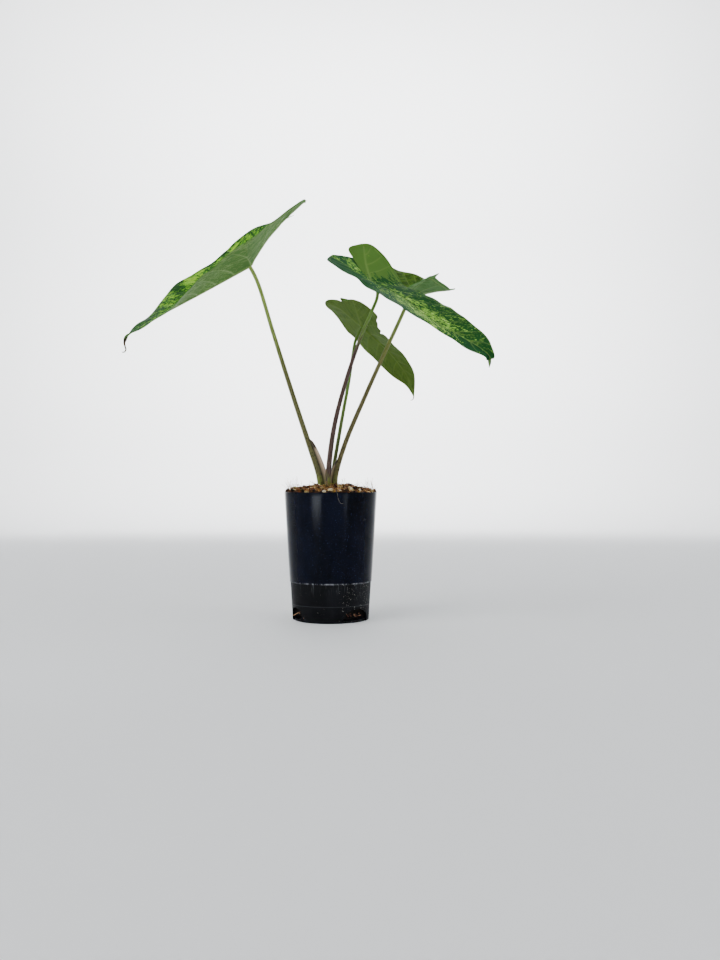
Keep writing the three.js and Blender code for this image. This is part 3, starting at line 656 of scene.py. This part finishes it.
# Blades: thin arrow-shaped leaves with long drip tips and rounded basal lobes. The side veins leave the
# midrib and the ribs of the lobes in pairs, the skin puffs up a little between them, and the top is marbled
# dark green and lime. Each half has its own rise from the midrib and its own width along the leaf.
MARGIN = [(-1.0, 0.55), (-0.93, 0.76), (-0.6, 0.96), (-0.15, 1.03), (0.12, 0.98), (0.3, 0.86), (0.5, 0.65),
          (0.68, 0.42), (0.82, 0.22), (0.92, 0.09), (0.97, 0.03), (1.0, 0.0)]
SINUS = [(-1.0, 0.55), (-0.96, 0.4), (-0.7, 0.25), (-0.4, 0.11)]
ALONG = [-1, -0.5, 0, 0.25, 0.5, 0.75, 0.9, 1]
WAVE_HEIGHT, WAVE_LENGTH, TIP_CROWDING = 0.35, 23, 1.15
BLADE_THICKNESS, EDGE_THICKNESS, RIB_DEPTH, RIB_HALF_WIDTH = 0.7, 0.3, 0.9, 1.3
PUFF_HEIGHT, PUFF_RUN, VEIN_SINK, VEIN_STAND = 0.35, 2.5, 0.15, 0.2
EDGE_LINE_WIDTH, DRY_EDGE_WIDTH, MERGE_DISTANCE = 0.45, 1.1, 0.004
# The marbling's map leans towards the tip with the side veins, and the second half has a stretch of its own.
FLOW_LEAN, FLOW_TURN, FLOW_WIDEN, SECOND_HALF = 0.8, 12, 1.28, 300
KINDS.update({
    "cells": ("ShaderNodeTexVoronoi", ("Vector", "Scale", "Randomness"), "Position", {}),
    "vector more": ("ShaderNodeVectorMath", (0, 1), 0, {"operation": "ADD"}),
})
SKIN_MARKS = ("under", "vein", "lime", "dark", "brown", "edge", "near")
VEIN_STARTS, LOBE_VEIN_STARTS = (0.0, 0.13, 0.27, 0.41, 0.55, 0.68, 0.8), (0.3, 0.55, 0.8)
VEIN_POINTS, LOBE_RIB_STEPS, MARGIN_VEIN_SHARE = 14, 12, 0.91
# Half widths of the veins in mm, where they start and where they end.
LOBE_RIB, SIDE_VEIN, LOBE_VEIN, MARGIN_VEIN = (1.3, 0.6), (0.7, 0.3), (0.6, 0.25), (0.3, 0.2)
BASAL_ROWS, FORWARD_ROWS = 70, 150
ACROSS = np.concatenate([[0, 0.012, 0.03, 0.05], np.linspace(0.08, 0.94, 30), [0.965, 0.985, 1.0]])
LEAVES = {
    "leaf_left": dict(
        midrib=[(-25, -2, 328), (-47, -8, 306.5), (-64, -12.5, 284), (-70, -14, 280), (-101, -20, 261),
                (-141, -30, 236.5), (-154, -33, 227.5), (-158.2, -34, 223), (-159.8, -34.4, 217.5)],
        junction=2, notch=2, half_width=40,
        left=dict(rise=[8, 12, 16, 13, 4, -13, -10, 60], wide=[1.05, 0.85, 1.09, 0.98, 1.3, 0.75, 1.5, 1.5],
                  bend=0, lobe=1.06, cleft=1, edge=[],
                  sinus=[(-1, 0.4), (-0.96, 0.5), (-0.72, 0.44), (-0.62, 0.35), (-0.56, 0.24), (-0.4, 0.16)]),
        right=dict(rise=[9, 29, 37, 34, 29, 17, 15, -60], wide=[0.91, 0.93, 0.95, 1.04, 1.4, 1.3, 1.5, 1.5],
                   bend=0, lobe=1.03, cleft=1.58, edge=[]),
        slot="leaf_blade", seed=3.0, back="#628844", rib="#9ab372", edge="#4d7a35", edge_share=0.5,
        streak=(1.0, 0.5), gloss=0.05, dull=0.45,
        colours=("#184616", "#3a6f24", "#74b62a", "#9ccb38"), near_sheen_colour="#4a7d2f", near_sheen_share=0,
        vein_top=0.15, lime=0.1, dark=0.5, dry_tip=0.95,
        marks=[(-1, -0.1, 0.8, 0.2, 0.6, 0.6, -0.3), (-1, 0.05, 0.8, 0.03, 0.5, -0.6, 0.6),
               (-1, 0.13, 0.8, 0.05, 0.5, 0.3, -0.2), (-1, 0.2, 0.8, 0.03, 0.5, -0.5, 0.5),
               (-1, 0.33, 0.8, 0.11, 0.5, 0.8, -0.5), (-1, 0.47, 0.8, 0.04, 0.5, -0.7, 0.6),
               (-1, 0.58, 0.5, 0.06, 0.5, 0.4, 0.2), (-1, 0.72, 0.7, 0.07, 0.5, -0.7, 1),
               (-1, 0.92, 0.2, 0.12, 0.5, -1.2, 0.2), (-1, 0.3, 1.0, 0.8, 0.1, -0.8, 1),
               (1, 0.04, 0.2, 0.1, 0.35, -0.5, 1.4), (1, 0.92, 0.2, 0.1, 0.5, -0.8, 0.2)]),
    "leaf_right": dict(
        midrib=[(1.5, -3, 304), (32.5, -28, 268), (45.5, -37.5, 259.5), (59.5, -49, 249), (74.5, -59.5, 235),
                (100, -75, 217), (113, -85, 207), (118, -87, 201), (117.3, -87.3, 195)],
        junction=1, notch=2, half_width=40,
        left=dict(rise=[27, 15, 9, 11, 27, 47, 63, 77], wide=[1.0, 0.98, 0.89, 0.87, 1.03, 1.1, 1.6, 2],
                  bend=0, lobe=0.83, cleft=0.52, edge=[]),
        right=dict(rise=[-2, 2, 4, 0, 1, -12, -24, -36], wide=[0.6, 0.97, 0.95, 0.93, 1.24, 1.03, 1.7, 2],
                   bend=0, lobe=0.63, cleft=-0.75, edge=[]),
        slot="leaf_blade", seed=8.0, back="#5a7a40", rib="#85a457", edge="#1f4a1c", edge_share=0.5,
        streak=(0.7, 0.7), gloss=0.03, dull=0.52,
        colours=("#1c4a22", "#557a33", "#8cc24c", "#bedf7c"), near_sheen_colour="#235430", near_sheen_share=0.75,
        vein_top=0.5, lime=-0.75, dark=0.65, dry_tip=0.99,
        marks=[(-1, 0.5, 0.3, 0.32, 0.36, 1.45, 0.1), (-1, 0.08, 0.3, 0.12, 0.5, 0.1, 0.5),
               (-1, 0.5, 0.95, 0.6, 0.12, -0.6, 0.8), (-1, 0.88, 0.2, 0.1, 0.5, -0.3, 0.5),
               (-1, -0.5, 0.05, 0.5, 0.22, 1.3, -0.4), (-1, -0.85, 0.45, 0.2, 0.15, 1.1, -0.3),
               (-1, -0.5, 0.95, 0.6, 0.3, -0.8, 1),
               (1, -0.8, 0.6, 0.8, 1.3, -0.4, -2.4), (1, 0.02, 0.25, 0.12, 0.25, 0.7, 1.8),
               (1, 0.45, 0.1, 0.3, 0.25, 1.2, 0), (1, 0.25, 0.6, 0.3, 0.4, 0.2, 0.9),
               (1, 0.5, 0.8, 0.35, 0.3, 0.3, -0.6)]),
    "leaf_low": dict(
        midrib=[(4.5, 33, 266.5), (13, 39, 258.5), (25.5, 45, 244), (48, 52, 224.5), (58, 55, 213),
                (66, 57.5, 200.5), (70.5, 58.5, 184.5)],
        junction=2, notch=2, half_width=32,
        left=dict(rise=[0, 4, -4, -11, -23, -41, -34, -28], wide=[0.85, 1.1, 1, 1.09, 1.02, 1, 0.94, 1],
                  bend=5, lobe=1, cleft=1, edge=[],
                  sinus=[(-1, 0.55), (-0.97, 0.35), (-0.9, 0.1), (-0.8, 0.006), (-0.4, 0.005)]),
        right=dict(rise=[-6, 1, 4, -5, 1, 18, 31, 45], wide=[0.86, 0.96, 1.03, 1.09, 1.01, 0.95, 1.01, 1],
                   bend=0, lobe=0.89, cleft=1,
                   sinus=[(-1, 0.55), (-0.97, 0.3), (-1.08, 0.1), (-0.95, 0.02), (-0.8, 0.006),
                          (-0.4, 0.005)],
                   edge=[(-0.05, 1), (-0.02, 0.98), (0.01, 0.84), (0.05, 0.85), (0.09, 0.77), (0.14, 0.84),
                         (0.17, 0.6), (0.19, 0.88), (0.22, 0.97), (0.26, 1)]),
        slot="young_leaf_blade", seed=15.0, back="#4d6526", rib="#5e7634", edge="#2c3a16", edge_share=0.7,
        streak=(0.4, 0.8), gloss=0.06, dull=0.45,
        colours=("#2f4d1b", "#4a6d26", "#5f8434", "#6f9440"), near_sheen_colour="#4a6d26", near_sheen_share=0,
        vein_top=0.3, lime=-0.6, dark=-0.3, dry_tip=0.985, marks=[(-1, 0.02, 0.4, 0.15, 0.5, 0, 0.6)]),
    "leaf_back": dict(
        midrib=[(48, 18, 259), (54, 29, 265), (66, 42, 268), (80, 55, 274), (94.5, 69, 279),
                (105, 83.5, 282.5), (109, 87, 284.5)],
        junction=2, notch=2, half_width=35,
        left=dict(rise=[73, 65, 58, 49, 46, 35, 18, 1], wide=[1, 1, 1.01, 0.99, 0.96, 0.93, 0.97, 1],
                  bend=0, lobe=1, cleft=1, edge=[]),
        right=dict(rise=[31, 24, 18, 2, -3, 0, 2, 3], wide=[1.2, 1.1, 1, 1.02, 0.82, 0.87, 0.94, 1],
                   bend=-4, lobe=1.11, cleft=1, edge=[(-0.19, 1), (-0.14, 1.18), (-0.09, 1)]),
        slot="leaf_blade", seed=22.0, back="#587e48", rib="#94ad62", edge="#35501f", edge_share=0.4,
        streak=(0.5, 0.8), gloss=0.04, dull=0.5,
        colours=("#37541c", "#4c6d22", "#5f8030", "#74903c"), near_sheen_colour="#588a4a", near_sheen_share=0.8,
        vein_top=0.45, lime=-0.7, dark=0, dry_tip=0.95, marks=[]),
}


def along_leaf(values, place):
    """A smooth run of values given at ALONG: place is -1 at the lobe's end, 0 at the stalk, 1 at the tip."""
    knots, values = np.array(ALONG, float), np.array(values, float)
    place = np.clip(place, -1, 1)
    slopes = np.empty_like(values)
    slopes[1:-1] = (values[2:] - values[:-2]) / (knots[2:] - knots[:-2])
    slopes[0] = (values[1] - values[0]) / (knots[1] - knots[0])
    slopes[-1] = (values[-1] - values[-2]) / (knots[-1] - knots[-2])
    i = np.clip(np.searchsorted(knots, place, side="left") - 1, 0, len(knots) - 2)
    gap = knots[i + 1] - knots[i]
    t = (place - knots[i]) / gap
    return (2 * t ** 3 - 3 * t ** 2 + 1) * values[i] + (t ** 3 - 2 * t ** 2 + t) * slopes[i] * gap \
        + (3 * t ** 2 - 2 * t ** 3) * values[i + 1] + (t ** 3 - t ** 2) * slopes[i + 1] * gap


def half_blade(leaf, half, side, line, lengths, behind):
    """Middle surface of one half: points, distance along and out from the midrib, and its veins."""
    length = lengths[-1] - behind
    lobe_reach = behind * half["lobe"]
    width = leaf["half_width"]
    margin = smooth_line([(u * (lobe_reach if u < 0 else length), v * width) for u, v in MARGIN])
    sinus = [(u * lobe_reach, v * width * (half["cleft"] if i else 1))
             for i, (u, v) in enumerate(half.get("sinus", SINUS))]
    sinus = smooth_line(sinus + [(-leaf["notch"], 0)])
    margin_lengths, sinus_lengths = lengths_of(margin), lengths_of(sinus)
    junction = 0
    while place_on(margin, margin_lengths, junction * margin_lengths[-1])[0] < 0:
        junction += 0.005
    basal = np.linspace(0, junction, BASAL_ROWS, endpoint=False)
    forward = np.linspace(junction, 1, FORWARD_ROWS + 1)
    stations = np.concatenate([basal, forward])
    outer_edge = place_on(margin, margin_lengths, stations * margin_lengths[-1])
    outer_share = np.where(outer_edge[:, 0] < 0, outer_edge[:, 0] / lobe_reach, outer_edge[:, 0] / length)
    outer_edge[:, 1] *= along_leaf(half["wide"], outer_share)
    left_share = np.ones_like(stations)
    if half["edge"]:
        knots, shares = zip(*half["edge"])
        left_share = np.interp(outer_edge[:, 0] / length, knots, shares, left=1, right=1)
        outer_edge[:, 1] *= left_share
    inner_edge = np.zeros_like(outer_edge)
    inner_edge[:BASAL_ROWS] = place_on(sinus, sinus_lengths, basal / junction * sinus_lengths[-1])
    inner_edge[:BASAL_ROWS, 1] *= 1 + (half["wide"][0] - 1) * np.clip(1 - basal / junction * 3, 0, 1)
    inner_edge[BASAL_ROWS:, 0] = -leaf["notch"] + (length + leaf["notch"]) \
        * ((forward - junction) / (1 - junction)) ** TIP_CROWDING
    u = inner_edge[:, :1] + (outer_edge[:, :1] - inner_edge[:, :1]) * ACROSS
    v = inner_edge[:, 1:] + (outer_edge[:, 1:] - inner_edge[:, 1:]) * ACROSS
    tangents = np.gradient(line, lengths, axis=0)
    along = place_on(tangents, lengths, np.clip(u + behind, 0, lengths[-1]))
    along /= np.linalg.norm(along, axis=-1, keepdims=True)
    middle = place_on(line, lengths, np.clip(u + behind, 0, lengths[-1]))
    middle += along * np.minimum(0, u + behind)[..., None]
    left = np.cross((0, 0, 1), along)
    left /= np.linalg.norm(left, axis=-1, keepdims=True)
    up = np.cross(along, left)
    share = np.where(u < 0, u / lobe_reach, u / length)
    rise = np.radians(along_leaf(half["rise"], share))
    bend = math.radians(half["bend"] + 0.01) / width
    sideways = (np.sin(rise + bend * v) - np.sin(rise)) / bend
    lift = (np.cos(rise) - np.cos(rise + bend * v)) / bend
    wave = WAVE_HEIGHT * np.sin(math.pi * stations)[:, None] * ACROSS ** 2 \
        * np.sin(2 * math.pi * stations * margin_lengths[-1] / WAVE_LENGTH + side)[:, None]
    points = middle + left * (side * (sideways - wave * np.sin(rise)))[..., None] \
        + up * (lift + wave * np.cos(rise))[..., None]

    def width_at(place_along):
        at = place_along / (lobe_reach if place_along < 0 else length)
        return float(np.interp(place_along, margin[:, 0], margin[:, 1]) * along_leaf(half["wide"], at))

    lobe_rib = [(0, 0), (-0.3 * lobe_reach, 0.2 * width), (-0.62 * lobe_reach, 0.38 * width),
                (-0.92 * lobe_reach, 0.56 * width)]
    veins = [(smooth_line(lobe_rib, LOBE_RIB_STEPS), *LOBE_RIB)]
    for start in VEIN_STARTS:
        reach = width_at(start * length + 0.1 * length)
        t = np.linspace(0, 1, VEIN_POINTS)
        out = reach * 0.9 * t
        forward_by = 0.17 * length * (1 - 0.5 * start) * t ** 1.6 - (0.05 * length * t if start == 0 else 0)
        veins.append((np.stack([start * length + forward_by, out], -1), *SIDE_VEIN))
    for start in LOBE_VEIN_STARTS:
        t = np.linspace(0, 1, VEIN_POINTS)
        root = place_on(veins[0][0], lengths_of(veins[0][0]), start * lengths_of(veins[0][0])[-1])
        out = (width_at(root[0] - 0.12 * lobe_reach) * 0.9 - root[1]) * t
        veins.append((np.stack([root[0] - 0.16 * lobe_reach * t ** 1.5, root[1] + out], -1), *LOBE_VEIN))
    inside = np.array([(a, width_at(a) * MARGIN_VEIN_SHARE) for a, b in margin[::12]])
    within = (inside[:, 0] > -0.85 * lobe_reach) & (inside[:, 0] < 0.93 * length)
    veins.append((inside[within], *MARGIN_VEIN))
    return dict(points=points, u=u, v=v, share=share, stations=stations, veins=veins, length=length,
                torn=left_share, lobe_reach=lobe_reach, width=width)


def vein_strength(u, v, veins, length):
    """How much of a vein is at each place, from 0 to 1, and the distance to the nearest vein in mm."""
    flat = np.stack([u.ravel(), v.ravel()], -1)
    rib = np.interp(flat[:, 0], [0, length], [1.3, 0.35])
    nearest = np.hypot(flat[:, 1], np.maximum(0, -flat[:, 0] - 2))
    strength = np.exp(-(nearest / rib) ** 2)
    for vein, wide, narrow in veins:
        for i in range(len(vein) - 1):
            a, b = vein[i], vein[i + 1]
            span = b - a
            t = np.clip(((flat - a) @ span) / max(span @ span, 1e-9), 0, 1)
            gap = np.linalg.norm(flat - a - t[:, None] * span, axis=1)
            size = wide + (narrow - wide) * (i + t) / (len(vein) - 1)
            strength = np.maximum(strength, np.exp(-(gap / size) ** 2) * (0.35 + 0.65 * np.minimum(1, size)))
            nearest = np.minimum(nearest, gap)
    return strength.reshape(u.shape), nearest.reshape(u.shape)


for name, leaf in LEAVES.items():
    dark_colour, mid_colour, lime_colour, pale_colour = [linear(code) for code in leaf["colours"]]
    # Leaf skin: matt satin, with blots of lime and dark green a millimetre or more across above, and a plain
    # grey green underside where the paler veins stand out.
    blade_material, tree, shader = new_material("leaf_skin_" + name)
    flow = add(tree, "own map", uv_map="flow")
    under, vein, lime_bias, dark_bias, brown, edge, near = [add(tree, "attribute", attribute_name=kind)
                                                            for kind in SKIN_MARKS]
    place = add(tree, "vector more", add(tree, "cells", flow, 1.0 / MM, 1.0), (leaf["seed"], 0.0, 0.0))
    streaks = add(tree, "stretch", place, (*leaf["streak"], 1))
    broad = add(tree, "noise", streaks, 0.14 / MM, 2, 0.5)
    small = add(tree, "noise", streaks, 0.5 / MM, 5, 0.78)
    shade = add(tree, "noise", streaks, 0.36 / MM, 4, 0.65)
    mottle = add(tree, "sum", add(tree, "product", broad, 0.25), add(tree, "product", small, 0.75))
    lime_at = add(tree, "sum", mottle, add(tree, "product", lime_bias, 0.1))
    lime = add(tree, "between", lime_at, 0.525, 0.55)
    pale = add(tree, "between", lime_at, 0.59, 0.63)
    dark = add(tree, "between", add(tree, "sum", shade, add(tree, "product", dark_bias, 0.12)), 0.5, 0.54)
    top_colour = add(tree, "mix", dark, mid_colour, dark_colour)
    # The right half's top takes a blue-green tint: painted sheen, on leaf_right and leaf_back where that half
    # faces the camera.
    top_colour = tinted(tree, top_colour, near, leaf["near_sheen_share"], leaf["near_sheen_colour"])
    top_colour = add(tree, "mix", lime, top_colour, add(tree, "mix", pale, lime_colour, pale_colour))
    top_colour = tinted(tree, top_colour, vein, leaf["vein_top"], leaf["rib"])
    back_colour = tinted(tree, linear(leaf["back"]), dark, 0.35, leaf["colours"][0])
    back_colour = tinted(tree, back_colour, lime, 0.3, leaf["rib"])
    back_colour = tinted(tree, back_colour, vein, 0.7, leaf["rib"])
    colour = add(tree, "mix", under, top_colour, back_colour)
    colour = tinted(tree, colour, edge, leaf["edge_share"], leaf["edge"])
    colour = add(tree, "mix", brown, colour, linear("#2c2216"))
    skin = add(tree, "noise", flow, 1.5 / MM, 3, 0.6)
    roughness = add(tree, "sum", add(tree, "product", under, 0.1), add(tree, "product", skin, 0.2))
    join(tree, shader, {"Base Color": colour, "Roughness": add(tree, "sum", roughness, leaf["dull"]),
                        "Specular IOR Level": leaf["gloss"],
                        "Normal": add(tree, "bump", skin, 0.15, 0.2 * MM)})

    line = smooth_line(leaf["midrib"])
    lengths = lengths_of(line)
    behind = lengths[leaf["junction"] * LINE_STEPS]
    halves = [half_blade(leaf, leaf["left"], 1, line, lengths, behind),
              half_blade(leaf, leaf["right"], -1, line, lengths, behind)]
    for side, half in zip((1, -1), halves):
        normal = np.cross(np.gradient(half["points"], axis=0), np.gradient(half["points"], axis=1)) * side
        normal /= np.maximum(np.linalg.norm(normal, axis=-1, keepdims=True), 1e-9)
        normal[0] = normal[1, -1]
        normal[-1] = normal[-2, -1]
        half["normal"] = normal
    shared = halves[0]["normal"][BASAL_ROWS:, 0] + halves[1]["normal"][BASAL_ROWS:, 0]
    shared /= np.linalg.norm(shared, axis=-1, keepdims=True)
    for half in halves:
        half["normal"][BASAL_ROWS:, 0] = shared
    vertices, faces, records = [], [], []
    start = 0
    for side, half in zip((1, -1), halves):
        u, v, share = half["u"], half["v"], half["share"]
        strength, nearest = vein_strength(u, v, half["veins"], half["length"])
        to_edge = np.minimum(1, (1 - ACROSS)[None] * half["width"] / 4)
        ends = np.minimum(1, np.minimum(half["stations"], 1 - half["stations"]) * 20)[:, None]
        puff = PUFF_HEIGHT * (1 - np.exp(-(nearest / PUFF_RUN) ** 2)) * to_edge * ends
        thickness = EDGE_THICKNESS + (BLADE_THICKNESS - EDGE_THICKNESS) * np.minimum(1, to_edge * 1.5) * ends
        rib_fade = np.clip(1 - u / half["length"], 0, 1) * np.clip((u + 6) / 6, 0, 1)
        rib = RIB_DEPTH * rib_fade * np.exp(-(v / RIB_HALF_WIDTH) ** 2)
        centre = half["points"] + half["normal"] * puff[..., None]
        top = centre + half["normal"] * (thickness / 2 - VEIN_SINK * strength * to_edge)[..., None]
        below = thickness / 2 + rib + VEIN_STAND * strength * to_edge
        bottom = centre - half["normal"] * below[..., None]
        rows, columns = u.shape
        lime = np.full(u.shape, float(leaf["lime"]))
        dark = np.full(u.shape, float(leaf["dark"]))
        brown = np.exp(-((1 - ACROSS) * half["width"] / DRY_EDGE_WIDTH) ** 2)
        brown = (half["torn"][:, None] < 0.999) * brown
        brown = np.maximum(brown, np.clip((share - leaf["dry_tip"]) / 0.02, 0, 1))
        out = v / half["width"]
        for mark_side, at_u, at_v, reach_u, reach_v, more_lime, more_dark in leaf["marks"]:
            if mark_side == side:
                near_mark = np.exp(-((share - at_u) / reach_u) ** 2 - ((out - at_v) / reach_v) ** 2)
                lime += more_lime * near_mark
                dark += more_dark * near_mark
        edge = np.exp(-((1 - ACROSS)[None] * half["width"] / EDGE_LINE_WIDTH) ** 2) * np.ones_like(u)
        flow_u = u - FLOW_LEAN * np.tanh(u / FLOW_TURN) * v + SECOND_HALF * (side < 0)
        for surface, is_under in ((top, 0.0), (bottom, 1.0)):
            vertices.append(surface.reshape(-1, 3))
            faces.append(grid_faces(rows, columns, start, flip=(side > 0) != (is_under > 0)))
            records.append(np.stack([np.full(u.size, is_under), strength.ravel(), lime.ravel(), dark.ravel(),
                                     brown.ravel(), edge.ravel(), np.full(u.size, float(side < 0)),
                                     flow_u.ravel(), (v * FLOW_WIDEN).ravel()], -1))
            start += rows * columns
        first, second = start - 2 * rows * columns, start - rows * columns
        for column, turned in ((columns - 1, False), (0, True)):
            k = np.arange(rows - 1 if column else BASAL_ROWS)
            a, b = first + k * columns + column, first + (k + 1) * columns + column
            c, d = second + (k + 1) * columns + column, second + k * columns + column
            strip = np.stack([a, b, c, d], -1)
            faces.append(strip[:, ::-1] if (side > 0) != turned else strip)
    vertices, faces, records = np.vstack(vertices), np.vstack(faces), np.vstack(records)
    piece = mesh_object(name + "_skin", vertices, faces, blade_material)
    for i, attribute in enumerate(SKIN_MARKS):
        values = piece.data.attributes.new(attribute, "FLOAT", "POINT")
        values.data.foreach_set("value", np.ascontiguousarray(records[:, i]))
    flow_map = piece.data.uv_layers.new(name="flow")
    corners = np.empty(len(piece.data.loops), dtype=np.int32)
    piece.data.loops.foreach_get("vertex_index", corners)
    flow_map.data.foreach_set("uv", np.ascontiguousarray(records[corners, 7:9] * MM).ravel())
    shape = bmesh.new()
    shape.from_mesh(piece.data)
    bmesh.ops.remove_doubles(shape, verts=shape.verts, dist=MERGE_DISTANCE * MM)
    bmesh.ops.recalc_face_normals(shape, faces=shape.faces)
    shape.to_mesh(piece.data)
    shape.free()
    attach(piece, "root")
    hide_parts(name)

# Dry ends and a stray hair: the drip tips shrivel to thin curled brown threads, and one fine root hangs over
# the rim in front.
CURL_SIDES, CURL_STEPS = 8, 8
CURLS = {
    "tip_curl_left": dict(path=[(-157.8, -34, 224), (-159.4, -34.3, 219.6), (-158.7, -34.5, 216.2),
                                (-158.1, -34.7, 213.8), (-159.2, -34.9, 212), (-161, -35, 211.8)],
                          radii=(0.9, 0.3), colours=("#2b2114", "#4a3a22"), slot="leaf_blade"),
    "tip_curl_right": dict(path=[(118.2, -87.1, 200.5), (118.1, -87.3, 197), (117.2, -87.5, 194.2)],
                           radii=(0.8, 0.3), colours=("#2a4a20", "#4a5a2c"), slot="leaf_blade"),
    "tip_curl_low": dict(path=[(70.3, 58.5, 187), (70.2, 58.6, 184), (69.2, 58.7, 182.2),
                               (67.5, 58.8, 181.8)],
                         radii=(0.6, 0.22), colours=("#3a3a1c", "#5a5230"), slot="young_leaf_blade"),
    "stray_root": dict(path=[(4.6, -34.2, 105.2), (5.4, -36.6, 104.1), (6.2, -37.75, 102), (7.0, -37.3, 97.5),
                             (8.9, -36.7, 94.4), (10.6, -36.25, 94.2)],
                       radii=(0.1, 0.07), colours=("#6a665e", "#97917f"), slot="bark_mix"),
}
for name, curl in CURLS.items():
    # Withered tissue: dark, dry and matt.
    curl_material, tree, shader = new_material("withered_" + name)
    place = add(tree, "object place")
    mottle = add(tree, "between", add(tree, "noise", place, 0.8 / MM, 3, 0.6), 0.4, 0.6)
    first, second = [linear(code) for code in curl["colours"]]
    colour = add(tree, "mix", mottle, first, second)
    join(tree, shader, {"Base Color": colour, "Roughness": 0.7, "Specular IOR Level": 0.2})
    line = smooth_line(curl["path"], CURL_STEPS)
    along = np.gradient(line, axis=0)
    along /= np.linalg.norm(along, axis=1)[:, None]
    across = np.cross(along, (0.3, 1.0, 0.2))
    across /= np.linalg.norm(across, axis=1)[:, None]
    beside = np.cross(along, across)
    turn = np.linspace(0, 2 * math.pi, CURL_SIDES, endpoint=False)
    radius = np.linspace(*curl["radii"], len(line))[:, None, None]
    points = line[:, None] + radius * (across[:, None] * np.cos(turn)[None, :, None]
                                       + beside[:, None] * np.sin(turn)[None, :, None])
    piece = mesh_object(name, points.reshape(-1, 3), tube_faces(len(line), CURL_SIDES), curl_material)
    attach(piece, "root")
